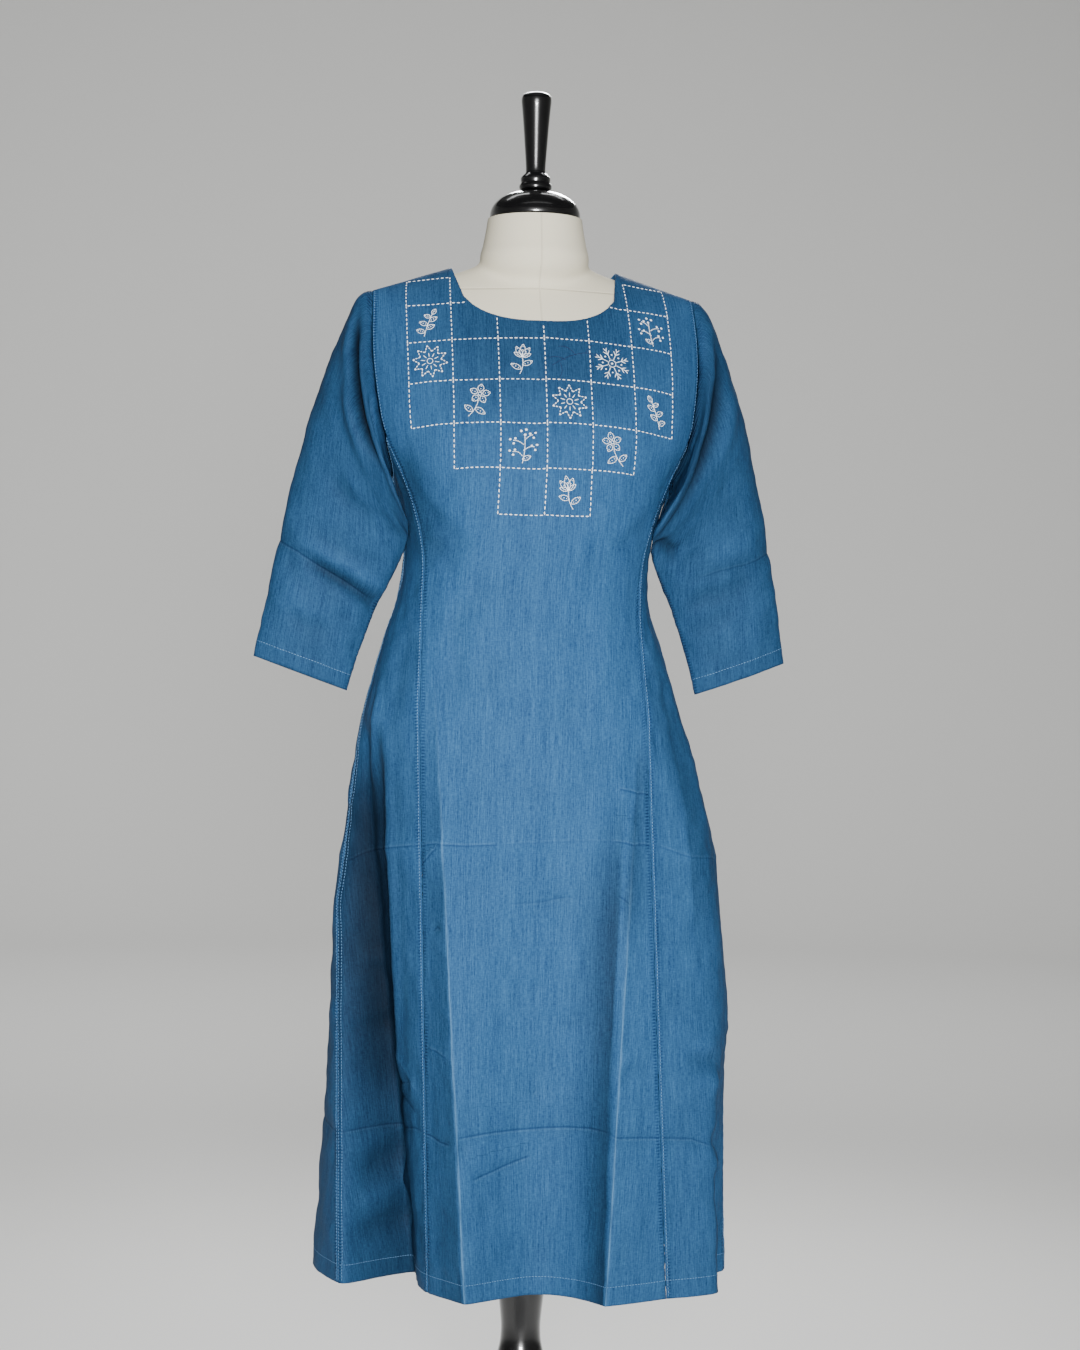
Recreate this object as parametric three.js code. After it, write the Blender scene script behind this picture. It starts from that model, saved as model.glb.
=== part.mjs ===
// An A-line denim kurti with three-quarter sleeves, worn by a limbless dress form on a turned stand.
// Millimetres, +Z up. The origin is on the floor under the middle of the base, and the front faces -Y.
// "Right" and "left" are the wearer's, so the right side is at -X.
//
// Every cloth panel is a wall. Its outer face is worked out from a height and a panel coordinate that runs
// round the body: 0 is centre front, 1 the front princess seam, 2 the side seam, 3 the back princess seam
// and 4 centre back, all negative on the right.
import * as THREE from "three";

const { lerp, clamp, smoothstep } = THREE.MathUtils;

// ---------------------------------------------------------------- driving sizes
const CLOTH = 1.2; // thickness of the cloth walls
const SEAM_GAP = 0.3; // between two pieces that are joined
const ARMHOLE_GAP = 0.45; // the same at the armholes, where the seam turns sharply
const HEM_HEIGHT = 285;
const UNDERARM_HEIGHT = 1165;
const SEAM_MEETS_ARMHOLE = 1208; // height at which a princess seam runs into the armhole
const SHOULDER_Y = 8; // the shoulder seams lie a little behind the middle
const NECK_POINT = { x: 92, height: 1399 }; // where the neckline meets the shoulder seam
const SHOULDER_POINT = { x: 179, height: 1371 }; // where the shoulder seam meets the armhole
const FRONT_NECK_DROP = 66;
const BACK_NECK_DROP = 22;
const NECK_SQUARENESS = 2.6; // 2 is an ellipse; more gives the neckline a flatter bottom
const SECTION_SQUARENESS = 2.4;
const CHEST_ROUNDING = 1.5; // how the chest leans back to the shoulder: 1 is straight, 2 is round
const BACK_ROUNDING = 1.9;

// The body of the garment where it hangs smoothly. seam is how far the princess seams lie from the middle;
// above the place where they meet the armhole it is the edge of the armhole.
const BODY_SECTIONS = [
  { height: 1371, halfWidth: 186, front: 122, back: 100, seam: 179, shift: 0 },
  { height: 1310, halfWidth: 188, front: 122, back: 100, seam: 181, shift: 0 },
  { height: 1258, halfWidth: 184, front: 122, back: 100, seam: 177, shift: 0 },
  { height: 1208, halfWidth: 174, front: 122, back: 100, seam: 167, shift: 0 },
  { height: 1165, halfWidth: 155, front: 122, back: 100, seam: 147, shift: -1 },
  { height: 1120, halfWidth: 142, front: 122, back: 98, seam: 130, shift: -3 },
  { height: 1077, halfWidth: 135, front: 121, back: 97, seam: 120, shift: -6 },
  { height: 1032, halfWidth: 139, front: 119, back: 97, seam: 118, shift: -9 },
  { height: 988, halfWidth: 152, front: 120, back: 101, seam: 119, shift: -10 },
  { height: 885, halfWidth: 181, front: 126, back: 113, seam: 125, shift: -7 },
  { height: 759, halfWidth: 206, front: 137, back: 130, seam: 131, shift: 1 },
  { height: 633, halfWidth: 222, front: 144, back: 140, seam: 132, shift: -1 },
  { height: 500, halfWidth: 232, front: 148, back: 146, seam: 130, shift: -3 },
  { height: 285, halfWidth: 230, front: 150, back: 150, seam: 128, shift: 0 },
];

// Ridges and valleys that the skirt is pressed and hangs in. Each starts at height "from", at panel
// coordinate "top", and runs straight down to the hem, where it is at coordinate "hem" and at x, y.
const SKIRT_FOLDS = [
  { name: "back ridge, right", from: 850, top: -3.486, hem: -3.6, x: -68, y: 168 },
  { name: "back valley, right", from: 780, top: -3.2, hem: -3.3, x: -118, y: 130 },
  { name: "back princess seam, right", from: 850, top: -3, hem: -3, x: -166, y: 156 },
  { name: "back corner, right", from: 600, top: -2.6, hem: -2.66, x: -222, y: 121 },
  { name: "side seam, right", from: 700, top: -2, hem: -2, x: -207, y: -39 },
  { name: "side valley, right", from: 900, top: -1.85, hem: -1.49, x: -114, y: 22 },
  { name: "front princess seam, right", from: 900, top: -1, hem: -1, x: -114, y: -86 },
  { name: "front ridge, right", from: 930, top: -0.88, hem: -0.6, x: -81, y: -146 },
  { name: "front ridge, left", from: 930, top: 0.86, hem: 0.6, x: 66, y: -167 },
  { name: "front princess seam, left", from: 900, top: 1, hem: 1, x: 138, y: -136 },
  { name: "side ridge, left", from: 620, top: 1.5, hem: 1.42, x: 205, y: -112 },
  { name: "side valley, left", from: 560, top: 1.75, hem: 1.72, x: 164, y: -50 },
  { name: "side seam, left", from: 600, top: 2, hem: 2, x: 230, y: -2 },
  { name: "back corner, left", from: 640, top: 2.6, hem: 2.65, x: 216, y: 112 },
  { name: "back princess seam, left", from: 850, top: 3, hem: 3, x: 160, y: 156 },
  { name: "back valley, left", from: 760, top: 3.2, hem: 3.28, x: 112, y: 132 },
  { name: "back ridge, left", from: 850, top: 3.486, hem: 3.6, x: 64, y: 168 },
];
// How far the cloth sags in between two ridges, at the hem. skew moves the deepest place to the second ridge.
const HOLLOWS = [
  { between: ["front ridge, right", "front ridge, left"], from: 820, depth: 58, skew: 1.35 },
  { between: ["back ridge, left", "back ridge, right"], from: 760, depth: -26, skew: 1 },
];
const HOLLOW_SOFTNESS = 0.85; // 1 is a sine wave; less is flatter in the middle and sharper at the ridges

// The pieces cut for the body. Each row of columns lies between two lines: panel coordinates, which are
// seams, the names of folds, or the names of the lines in NECK_LINES that run up to the neck points.
const NECK_LINES_FROM = 930;
const NECK_LINES = {
  "neck line, right": { top: -0.514, hem: -0.34 },
  "neck line, left": { top: 0.514, hem: 0.34 },
};
const BODY_PANELS = [
  {
    name: "front_centre_panel",
    lines: [-1, "front ridge, right", "neck line, right", 0, "neck line, left", "front ridge, left", 1],
    columns: [2, 2, 4, 4, 2, 2],
  },
  {
    name: "front_side_panel_left",
    lines: [1, "side ridge, left", "side valley, left", 2],
    columns: [3, 2, 2],
  },
  { name: "back_side_panel_left", lines: [2, "back corner, left", 3], columns: [3, 3] },
  {
    name: "back_centre_panel",
    lines: [3, "back valley, left", "back ridge, left", 4, "back ridge, right", "back valley, right", 5],
    columns: [2, 2, 4, 4, 2, 2],
  },
  { name: "back_side_panel_right", lines: [-3, "back corner, right", -2], columns: [3, 3] },
  { name: "front_side_panel_right", lines: [-2, "side valley, right", -1], columns: [3, 4] },
];
const SKIRT_ROWS = 17; // from the hem to the underarm
const CHEST_ROWS = [0.34, 0.48, 0.61, 0.72, 0.81, 0.88, 0.935, 0.97, 0.99, 1]; // shares of the way up from it

// Each sleeve is a limp tube. outer and inner are its edges, seen from the front, and y is its middle.
// depth is half its thickness from front to back, pinch below 2 presses its edges sharp, and asArmhole is how
// much of the armhole's own curve it keeps.
const SLEEVE_SECTIONS = [
  { outer: [179, 1371], inner: [155, 1165], y: 7, depth: 48, pinch: 2, asArmhole: 1 },
  { outer: [190, 1367], inner: [160, 1163], y: 7, depth: 52, pinch: 2, asArmhole: 0.85 },
  { outer: [201, 1352], inner: [161, 1152], y: 8, depth: 55, pinch: 2, asArmhole: 0.6 },
  { outer: [212, 1325], inner: [159, 1137], y: 9, depth: 56, pinch: 2, asArmhole: 0.35 },
  { outer: [228, 1284], inner: [154, 1120], y: 11, depth: 54, pinch: 2, asArmhole: 0.15 },
  { outer: [244, 1234], inner: [148, 1105], y: 14, depth: 49, pinch: 2, asArmhole: 0 },
  { outer: [259, 1175], inner: [144, 1089], y: 19, depth: 42, pinch: 1.9, asArmhole: 0 },
  { outer: [273, 1115], inner: [151, 1062], y: 25, depth: 35, pinch: 1.8, asArmhole: 0 },
  { outer: [285, 1055], inner: [169, 1020], y: 33, depth: 28, pinch: 1.7, asArmhole: 0 },
  { outer: [295, 1000], inner: [188, 964], y: 42, depth: 22, pinch: 1.6, asArmhole: 0 },
  { outer: [301, 966], inner: [198, 929], y: 48, depth: 17, pinch: 1.6, asArmhole: 0 },
];
const SLEEVE_SHIFT = -1;

// The dress form. Its shoulders and chest follow the garment; below them it has its own sizes.
const FORM_ROOM = 3; // between the cloth and the form beside the armholes
const FORM_NECKLINE_DROP = 6.5; // the form's shoulder line leaves the cloth towards the neck
const FORM_SECTIONS = [
  { height: 1165, halfWidth: 140, front: 113, back: 91 },
  { height: 1120, halfWidth: 134, front: 115, back: 92 },
  { height: 1077, halfWidth: 126, front: 104, back: 88 },
  { height: 1000, halfWidth: 113, front: 88, back: 80 },
  { height: 920, halfWidth: 130, front: 96, back: 92 },
  { height: 820, halfWidth: 158, front: 106, back: 112 },
  { height: 740, halfWidth: 160, front: 106, back: 112 },
  { height: 660, halfWidth: 150, front: 100, back: 104 },
];
const FORM_BOTTOM = { height: 644, edge: 14 };
const FORM_ROWS = [
  { upTo: UNDERARM_HEIGHT, rows: 12 },
  { upTo: 1345, rows: 6 },
  { upTo: 1404, rows: 10 },
  { upTo: 1454, rows: 4 },
];
const ARM_PLATE_X = 160; // the form is cut off flat at the arms
const ARM_PLATE_SHARE = 0.98; // of the chest's own half width
const NECK_BLEND = 7; // how softly the neck grows out of the shoulders: more is sharper
const NECK_Y = 2;
const NECK_SECTIONS = [
  { height: 1454, radius: 52 },
  { height: 1438, radius: 54.5 },
  { height: 1425, radius: 57 },
  { height: 1410, radius: 60 },
  { height: 1395, radius: 55 },
  { height: 1380, radius: 40 },
  { height: 1360, radius: 20 },
];
const FORM_COLUMNS = 40;

// Turned wood: radius and height of each point of an outline, from the bottom up.
const NECK_CAP = [
  [0, 1454.3], [49, 1454.3], [50.3, 1456], [50.3, 1460], [49, 1465], [46, 1470.5], [40, 1476.5],
  [31, 1481.5], [21, 1484.5], [15, 1486], [0, 1486],
];
const CAP_HANDLE = [
  [0, 1486.3], [16.5, 1486.3], [18.2, 1489], [18.2, 1492], [16, 1495], [16.6, 1497.5], [16.6, 1500.5],
  [14, 1503.5], [11, 1506], [10.9, 1512], [12.2, 1530], [14, 1555], [15.9, 1577], [17, 1587], [15.8, 1592],
  [11, 1595], [0, 1596],
];
const STAND_POLE = [
  [0, 46.3], [44, 46.3], [44, 54], [35, 62], [27, 76], [24, 96], [27, 118], [33, 140], [36, 158], [33, 176],
  [26, 196], [22.5, 212], [21.8, 228], [23.5, 246], [25.6, 264], [28, 300], [28.6, 340], [26, 400],
  [22.5, 470], [20.5, 540], [21, 590], [26, 610], [38, 622], [42, 632], [42, 643.7], [0, 643.7],
];
const STAND_BASE = [
  [0, 0], [184, 0], [190, 5], [190, 18], [184, 24], [150, 28], [90, 34], [70, 40], [62, 46], [0, 46],
];

const DENIM = new THREE.MeshStandardMaterial({ color: 0x3f78ad, roughness: 0.85, metalness: 0 });
const FORM_LINEN = new THREE.MeshStandardMaterial({ color: 0xd0cdc2, roughness: 0.9, metalness: 0 });
const BLACK_WOOD = new THREE.MeshStandardMaterial({ color: 0x151312, roughness: 0.25, metalness: 0 });

// ---------------------------------------------------------------- reading the tables
// A smooth reading of one column of a table whose rows go down in height.
function readColumn(rows, height, key) {
  const last = rows.length - 1;
  const h = clamp(height, rows[last].height, rows[0].height);
  let i = 0;
  while (i < last - 1 && h < rows[i + 1].height) i++;
  const slope = (k) => {
    const a = rows[Math.max(k - 1, 0)];
    const b = rows[Math.min(k + 1, last)];
    return (b[key] - a[key]) / (b.height - a.height);
  };
  const span = rows[i + 1].height - rows[i].height;
  const f = (h - rows[i].height) / span;
  const f2 = f * f;
  const f3 = f2 * f;
  return (
    (2 * f3 - 3 * f2 + 1) * rows[i][key] +
    (f3 - 2 * f2 + f) * span * slope(i) +
    (3 * f2 - 2 * f3) * rows[i + 1][key] +
    (f3 - f2) * span * slope(i + 1)
  );
}

// Where a function that rises from below zero to above it crosses zero.
function crossing(rising, low, high) {
  for (let i = 0; i < 40; i++) {
    const middle = (low + high) / 2;
    if (rising(middle) < 0) low = middle;
    else high = middle;
  }
  return (low + high) / 2;
}

// ---------------------------------------------------------------- the smooth body
const isFront = (c) => Math.abs(c) <= 2;
// 0 on a centre line, 1 on a princess seam and 2 on a side seam, at the front and at the back alike.
const fromCentre = (c) => (isFront(c) ? Math.abs(c) : 4 - Math.abs(c));

// How deep a section is at x, as a share of its depth on the centre line, and the angle of a point on it.
function fullness(x, halfWidth) {
  const share = Math.min(1, Math.abs(x) / halfWidth);
  return Math.pow(1 - Math.pow(share, SECTION_SQUARENESS), 1 / SECTION_SQUARENESS);
}
const angleAt = (x, halfWidth) => Math.asin(Math.pow(clamp(x / halfWidth, 0, 1), SECTION_SQUARENESS / 2));

const shoulderSlope = (SHOULDER_POINT.height - NECK_POINT.height) / (SHOULDER_POINT.x - NECK_POINT.x);
const shoulderHeight = (x) => NECK_POINT.height + (Math.abs(x) - NECK_POINT.x) * shoulderSlope;

// The share of its depth that the chest or back still has at a height, on its way to the shoulder line.
function crown(x, height, rounding) {
  const t = clamp((height - UNDERARM_HEIGHT) / (shoulderHeight(x) - UNDERARM_HEIGHT), 0, 1);
  return Math.pow(1 - Math.pow(t, rounding), 1 / rounding);
}

// How far in front of or behind the middle the centre panels are, at a share of the way to their side edges.
function centreDepth(front, across, height) {
  const side = front ? -1 : 1;
  const level = Math.min(height, UNDERARM_HEIGHT);
  const read = (key) => readColumn(BODY_SECTIONS, level, key);
  const depth = side * read(front ? "front" : "back") * fullness(across * read("seam"), read("halfWidth"));
  if (height <= UNDERARM_HEIGHT) return depth;
  const x = across * readColumn(BODY_SECTIONS, height, "seam");
  const left = crown(x, height, front ? CHEST_ROUNDING : BACK_ROUNDING);
  return lerp(SHOULDER_Y, depth, left);
}

function smoothBody(c, height) {
  const seam = readColumn(BODY_SECTIONS, height, "seam");
  const halfWidth = readColumn(BODY_SECTIONS, height, "halfWidth");
  const m = fromCentre(c);
  let x = m * seam;
  let y = centreDepth(isFront(c), Math.min(m, 1), height);
  if (m > 1) {
    const seamAngle = angleAt(seam, halfWidth);
    const angle = lerp(seamAngle, Math.PI / 2, m - 1);
    x = halfWidth * Math.pow(Math.sin(angle), 2 / SECTION_SQUARENESS);
    y *= Math.pow(Math.max(0, Math.cos(angle)) / Math.cos(seamAngle), 2 / SECTION_SQUARENESS);
  }
  return new THREE.Vector3(Math.sign(c) * x + readColumn(BODY_SECTIONS, height, "shift"), y, height);
}

// ---------------------------------------------------------------- folds in the skirt
const shareDown = (from, height) => clamp((from - height) / (from - HEM_HEIGHT), 0, 1);
const foldNamed = (name) => SKIRT_FOLDS.find((fold) => fold.name === name);
const foldLine = (fold, height) => lerp(fold.top, fold.hem, shareDown(fold.from, height));
const wrap = (c) => (c > 4 ? c - 8 : c); // a panel that crosses centre back goes on past 4

// How far a fold draws the cloth from the smooth body at a height.
function foldPull(fold, height) {
  if (height >= fold.from) return new THREE.Vector3();
  const start = smoothBody(fold.top, fold.from);
  const end = new THREE.Vector3(fold.x, fold.y, HEM_HEIGHT);
  const at = start.lerp(end, shareDown(fold.from, height));
  return at.sub(smoothBody(foldLine(fold, height), height)).setZ(0);
}

const ahead = (to, from) => (to - from + 8) % 8;

function body(panelCoordinate, height) {
  const c = wrap(panelCoordinate);
  const point = smoothBody(c, height);
  const lines = SKIRT_FOLDS.map((fold) => foldLine(fold, height));
  let next = lines.findIndex((line) => line >= c);
  if (next === -1) next = 0;
  const last = (next + lines.length - 1) % lines.length;
  const share = ahead(c, lines[last]) / ahead(lines[next], lines[last]);
  point.add(foldPull(SKIRT_FOLDS[last], height).lerp(foldPull(SKIRT_FOLDS[next], height), share));
  for (const hollow of HOLLOWS) {
    const [start, end] = hollow.between.map((name) => foldLine(foldNamed(name), height));
    const across = ahead(c, start) / ahead(end, start);
    if (across >= 1) continue;
    const sag = Math.sin(Math.PI * across ** hollow.skew) ** HOLLOW_SOFTNESS;
    point.y += hollow.depth * shareDown(hollow.from, height) * sag;
  }
  return point;
}

// The direction straight out of the cloth. On a seam it is the mean of both sides.
const STEP_ROUND = 0.03;
const STEP_UP = 3;
function bodyNormal(c, height) {
  const round = body(c + STEP_ROUND, height).sub(body(c - STEP_ROUND, height));
  const up = body(c, height + STEP_UP).sub(body(c, height - STEP_UP));
  return round.cross(up).normalize();
}

// ---------------------------------------------------------------- the upper edges of the panels
function neckHeight(x, drop) {
  const share = clamp(Math.abs(x) / NECK_POINT.x, 0, 1);
  return NECK_POINT.height - drop * Math.pow(1 - Math.pow(share, NECK_SQUARENESS), 1 / NECK_SQUARENESS);
}

// The side panels end in the lower curve of the armhole.
function sideTop(c) {
  const rise = SEAM_MEETS_ARMHOLE - UNDERARM_HEIGHT;
  return UNDERARM_HEIGHT + rise * (1 - Math.sin((Math.PI / 2) * (fromCentre(wrap(c)) - 1)));
}

// The centre panels end in the shoulder seams and the neckline.
function centreTop(panelCoordinate) {
  const c = wrap(panelCoordinate);
  const m = fromCentre(c);
  const drop = isFront(c) ? FRONT_NECK_DROP : BACK_NECK_DROP;
  const above = (height) => {
    const x = m * readColumn(BODY_SECTIONS, height, "seam");
    return height - (x < NECK_POINT.x ? neckHeight(x, drop) : shoulderHeight(x));
  };
  return crossing(above, UNDERARM_HEIGHT, SHOULDER_POINT.height + 60);
}

// ---------------------------------------------------------------- meshes
// A closed mesh made of quads, given as lists of four corners, and triangles.
function closedMesh(name, material, points, faces) {
  const geometry = new THREE.BufferGeometry();
  const positions = points.flatMap((point) => point.toArray());
  geometry.setAttribute("position", new THREE.Float32BufferAttribute(positions, 3));
  const triangles = faces.flatMap(([a, b, c, d]) => (d === undefined ? [a, b, c] : [a, b, c, a, c, d]));
  geometry.setIndex(triangles);
  geometry.computeVertexNormals();
  const mesh = new THREE.Mesh(geometry, material);
  mesh.name = name;
  return mesh;
}

// A wall between an outer and an inner grid of points. Rows run up, and columns run round anticlockwise.
function wallMesh(name, material, outer, inner, closedRound) {
  const rows = outer.length;
  const columns = outer[0].length;
  const points = [...outer.flat(), ...inner.flat()];
  const at = (row, column) => row * columns + (column % columns);
  const inside = (index) => index + rows * columns;
  const faces = [];
  const steps = closedRound ? columns : columns - 1;
  for (let row = 0; row < rows - 1; row++) {
    for (let column = 0; column < steps; column++) {
      const corners = [at(row, column), at(row, column + 1), at(row + 1, column + 1), at(row + 1, column)];
      const [a, b, c, d] = corners.map(inside);
      faces.push(corners, [a, d, c, b]); // both faces of the wall are split along the same diagonal
    }
  }
  for (let column = 0; column < steps; column++) {
    const [a, b] = [at(0, column), at(0, column + 1)];
    const [c, d] = [at(rows - 1, column), at(rows - 1, column + 1)];
    faces.push([b, a, inside(a), inside(b)], [c, d, inside(d), inside(c)]);
  }
  if (!closedRound) {
    for (let row = 0; row < rows - 1; row++) {
      const [a, b] = [at(row, 0), at(row + 1, 0)];
      const [c, d] = [at(row, columns - 1), at(row + 1, columns - 1)];
      faces.push([a, b, inside(b), inside(a)], [d, c, inside(c), inside(d)]);
    }
  }
  return closedMesh(name, material, points, faces);
}

// ---------------------------------------------------------------- body panels
function lineAt(line, height) {
  if (typeof line === "number") return line;
  const neckLine = NECK_LINES[line];
  if (neckLine) return lerp(neckLine.top, neckLine.hem, shareDown(NECK_LINES_FROM, height));
  return foldLine(foldNamed(line), height);
}

const isSidePanel = (panel) => panel.name.includes("side");

// Panel coordinates of a row of points. Beside the centre lines they draw together where the neckline rises.
function rowCoordinates(panel, height) {
  const lines = panel.lines.map((line) => lineAt(line, height));
  for (let i = 1; i < lines.length; i++) if (lines[i] < lines[i - 1]) lines[i] += 8;
  const coordinates = [lines[0]];
  panel.columns.forEach((count, i) => {
    const besideCentre = [panel.lines[i], panel.lines[i + 1]].some((line) => line === 0 || line === 4);
    const towardsNeck = besideCentre ? smoothstep(height, 1000, UNDERARM_HEIGHT) : 0;
    for (let k = 1; k <= count; k++) {
      const share = k / count;
      const risingTo = panel.lines[i] === 0 || panel.lines[i] === 4;
      const steep = risingTo ? Math.sin((Math.PI / 2) * share) : 1 - Math.cos((Math.PI / 2) * share);
      coordinates.push(lerp(lines[i], lines[i + 1], lerp(share, steep, towardsNeck)));
    }
  });
  return coordinates;
}

// Heights of the points up one line of a panel. Where a side and a centre panel are joined they are the same.
function columnHeights(c, panel) {
  const skirtHeight = (_, row) => lerp(HEM_HEIGHT, UNDERARM_HEIGHT, row / SKIRT_ROWS);
  const skirt = Array.from({ length: SKIRT_ROWS + 1 }, skirtHeight);
  const top = isSidePanel(panel) ? sideTop(c) : centreTop(c);
  const joined = (SEAM_MEETS_ARMHOLE - UNDERARM_HEIGHT) / (centreTop(1) - UNDERARM_HEIGHT);
  const shares = isSidePanel(panel) ? [0.5, 1] : [joined / 2, joined, ...CHEST_ROWS];
  return [...skirt, ...shares.map((share) => lerp(UNDERARM_HEIGHT, top, share))];
}

function bodyPanel(panel) {
  const rows = columnHeights(panel.lines[0], panel).length;
  const levels = columnHeights(panel.lines[0], panel);
  const outer = [];
  const inner = [];
  for (let row = 0; row < rows; row++) {
    const coordinates = rowCoordinates(panel, levels[row]);
    outer.push([]);
    inner.push([]);
    coordinates.forEach((c, i) => {
      const height = columnHeights(c, panel)[row];
      const point = body(c, height);
      const edge = i === 0 ? 1 : i === coordinates.length - 1 ? -1 : 0;
      if (edge) {
        const intoPanel = body(c + edge * STEP_ROUND, height).sub(point).normalize();
        point.addScaledVector(intoPanel, SEAM_GAP / 2);
      }
      let normal = bodyNormal(c, height);
      const atShoulder = !isSidePanel(panel) && row === rows - 1;
      if (atShoulder) point.y += ((isFront(wrap(c)) ? -1 : 1) * SEAM_GAP) / 2;
      if (atShoulder && Math.abs(point.x) > NECK_POINT.x - 1) {
        normal = new THREE.Vector3(-Math.sign(point.x) * shoulderSlope, 0, 1).normalize();
      }
      outer[row].push(point);
      inner[row].push(point.clone().addScaledVector(normal, -CLOTH));
    });
  }
  return wallMesh(panel.name, DENIM, outer, inner, false);
}

// ---------------------------------------------------------------- sleeves
// The seam round an armhole, from the shoulder down the front, past the underarm and up the back,
// with the direction in which the sleeve leaves it.
function armhole(side) {
  const centrePanel = BODY_PANELS[0];
  const upper = columnHeights(1, centrePanel).slice(SKIRT_ROWS + 2);
  const outwards = new THREE.Vector3(side, 0, 0);
  const upwards = new THREE.Vector3(side * 0.4, 0, 1).normalize();
  const lower = ["front", "back"].flatMap((part) => {
    const panel = BODY_PANELS.find((p) => p.name === `${part}_side_panel_${side > 0 ? "left" : "right"}`);
    return rowCoordinates(panel, UNDERARM_HEIGHT).map(Math.abs);
  });
  const below = [...new Set(lower)].sort().slice(1, -1);
  const places = [
    ...upper.toReversed().map((height) => [1, height, outwards]),
    ...below.map((c) => [c, sideTop(c), upwards]),
    ...upper.slice(0, -1).map((height) => [3, height, outwards]),
  ];
  return places.map(([c, height, away]) => body(side * c, height).addScaledVector(away, ARMHOLE_GAP));
}

// Angles round a sleeve that match the points of its armhole: 0 at the shoulder, pi at the underarm.
function armholeAngles(seam) {
  const count = seam.length;
  const lengths = seam.map((point, i) => point.distanceTo(seam[(i + 1) % count]));
  const reach = (from, to) => lengths.slice(from, to).reduce((sum, length) => sum + length, 0);
  const lowest = seam.reduce((best, point, i) => (point.z < seam[best].z ? i : best), 0);
  return seam.map((_, i) =>
    i <= lowest
      ? (Math.PI * reach(0, i)) / reach(0, lowest)
      : Math.PI * (1 + reach(lowest, i) / reach(lowest, count)),
  );
}

function sleeve(name, side) {
  const seam = armhole(side);
  const angles = armholeAngles(seam);
  const limp = (section, angle) => {
    const share = (1 - Math.cos(angle)) / 2;
    const [x, height] = [0, 1].map((k) => lerp(section.outer[k], section.inner[k], share));
    const forwards = Math.sign(Math.sin(angle)) * Math.abs(Math.sin(angle)) ** (2 / section.pinch);
    return new THREE.Vector3(side * x + SLEEVE_SHIFT, section.y - section.depth * forwards, height);
  };
  const rings = SLEEVE_SECTIONS.map((section) =>
    seam.map((point, i) => {
      const own = point.clone().sub(limp(SLEEVE_SECTIONS[0], angles[i]));
      return limp(section, angles[i]).addScaledVector(own, section.asArmhole);
    }),
  );
  const middle = seam.reduce((sum, point) => sum.add(point), new THREE.Vector3()).divideScalar(seam.length);
  const inner = rings.map((ring, k) =>
    ring.map((point, i) => {
      let inwards = middle.clone().sub(point).setX(0).normalize();
      inwards.x = side * Math.max(0, -Math.cos(angles[i]));
      if (k > 0) {
        const round = ring[(i + 1) % ring.length].clone().sub(ring.at(i - 1));
        const along = rings[Math.min(k + 1, rings.length - 1)][i].clone().sub(rings[k - 1][i]);
        inwards = round.cross(along).multiplyScalar(-side);
      }
      return point.clone().addScaledVector(inwards.normalize(), CLOTH);
    }),
  );
  if (side < 0) for (const ring of [...rings, ...inner]) ring.reverse();
  return wallMesh(name, DENIM, rings, inner, true);
}

// ---------------------------------------------------------------- the dress form
// Its shoulder line lies just under the shoulder seams, and drops away from the cloth towards the neck.
function formShoulderHeight(x) {
  const nearNeck = 1 - smoothstep(Math.abs(x), NECK_POINT.x, NECK_POINT.x + 33);
  return shoulderHeight(x) - CLOTH - SEAM_GAP - FORM_NECKLINE_DROP * nearNeck;
}

function isInsideForm(x, y, height) {
  const read = (key) => readColumn(FORM_SECTIONS, height, key);
  if (height <= UNDERARM_HEIGHT) {
    const depth = read(y < 0 ? "front" : "back") * fullness(x, read("halfWidth"));
    return Math.abs(x) < read("halfWidth") && Math.abs(y) < depth;
  }
  const width = Math.min(ARM_PLATE_X, readColumn(BODY_SECTIONS, height, "seam") - FORM_ROOM);
  const top = formShoulderHeight(x);
  if (Math.abs(x) >= width || height >= top) return false;
  const front = y < SHOULDER_Y;
  const rounding = front ? CHEST_ROUNDING : BACK_ROUNDING;
  const chest = (front ? -read("front") : read("back")) * fullness(x / width, 1 / ARM_PLATE_SHARE);
  const rise = (height - UNDERARM_HEIGHT) / (top - UNDERARM_HEIGHT);
  const left = Math.pow(1 - Math.pow(rise, rounding), 1 / rounding);
  return Math.abs(y - SHOULDER_Y) < Math.abs(chest - SHOULDER_Y) * left;
}

// How far the form reaches from its middle in one direction. The neck grows softly out of the shoulders.
function formRadius(angle, height, middleY) {
  const [dx, dy] = [Math.cos(angle), Math.sin(angle)];
  const torso = crossing((r) => (isInsideForm(r * dx, middleY + r * dy, height) ? -1 : 1), 0, 300);
  if (height < NECK_SECTIONS.at(-1).height) return torso;
  const neck = readColumn(NECK_SECTIONS, height, "radius") - (middleY - NECK_Y) * dy;
  return (torso ** NECK_BLEND + neck ** NECK_BLEND) ** (1 / NECK_BLEND);
}

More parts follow.
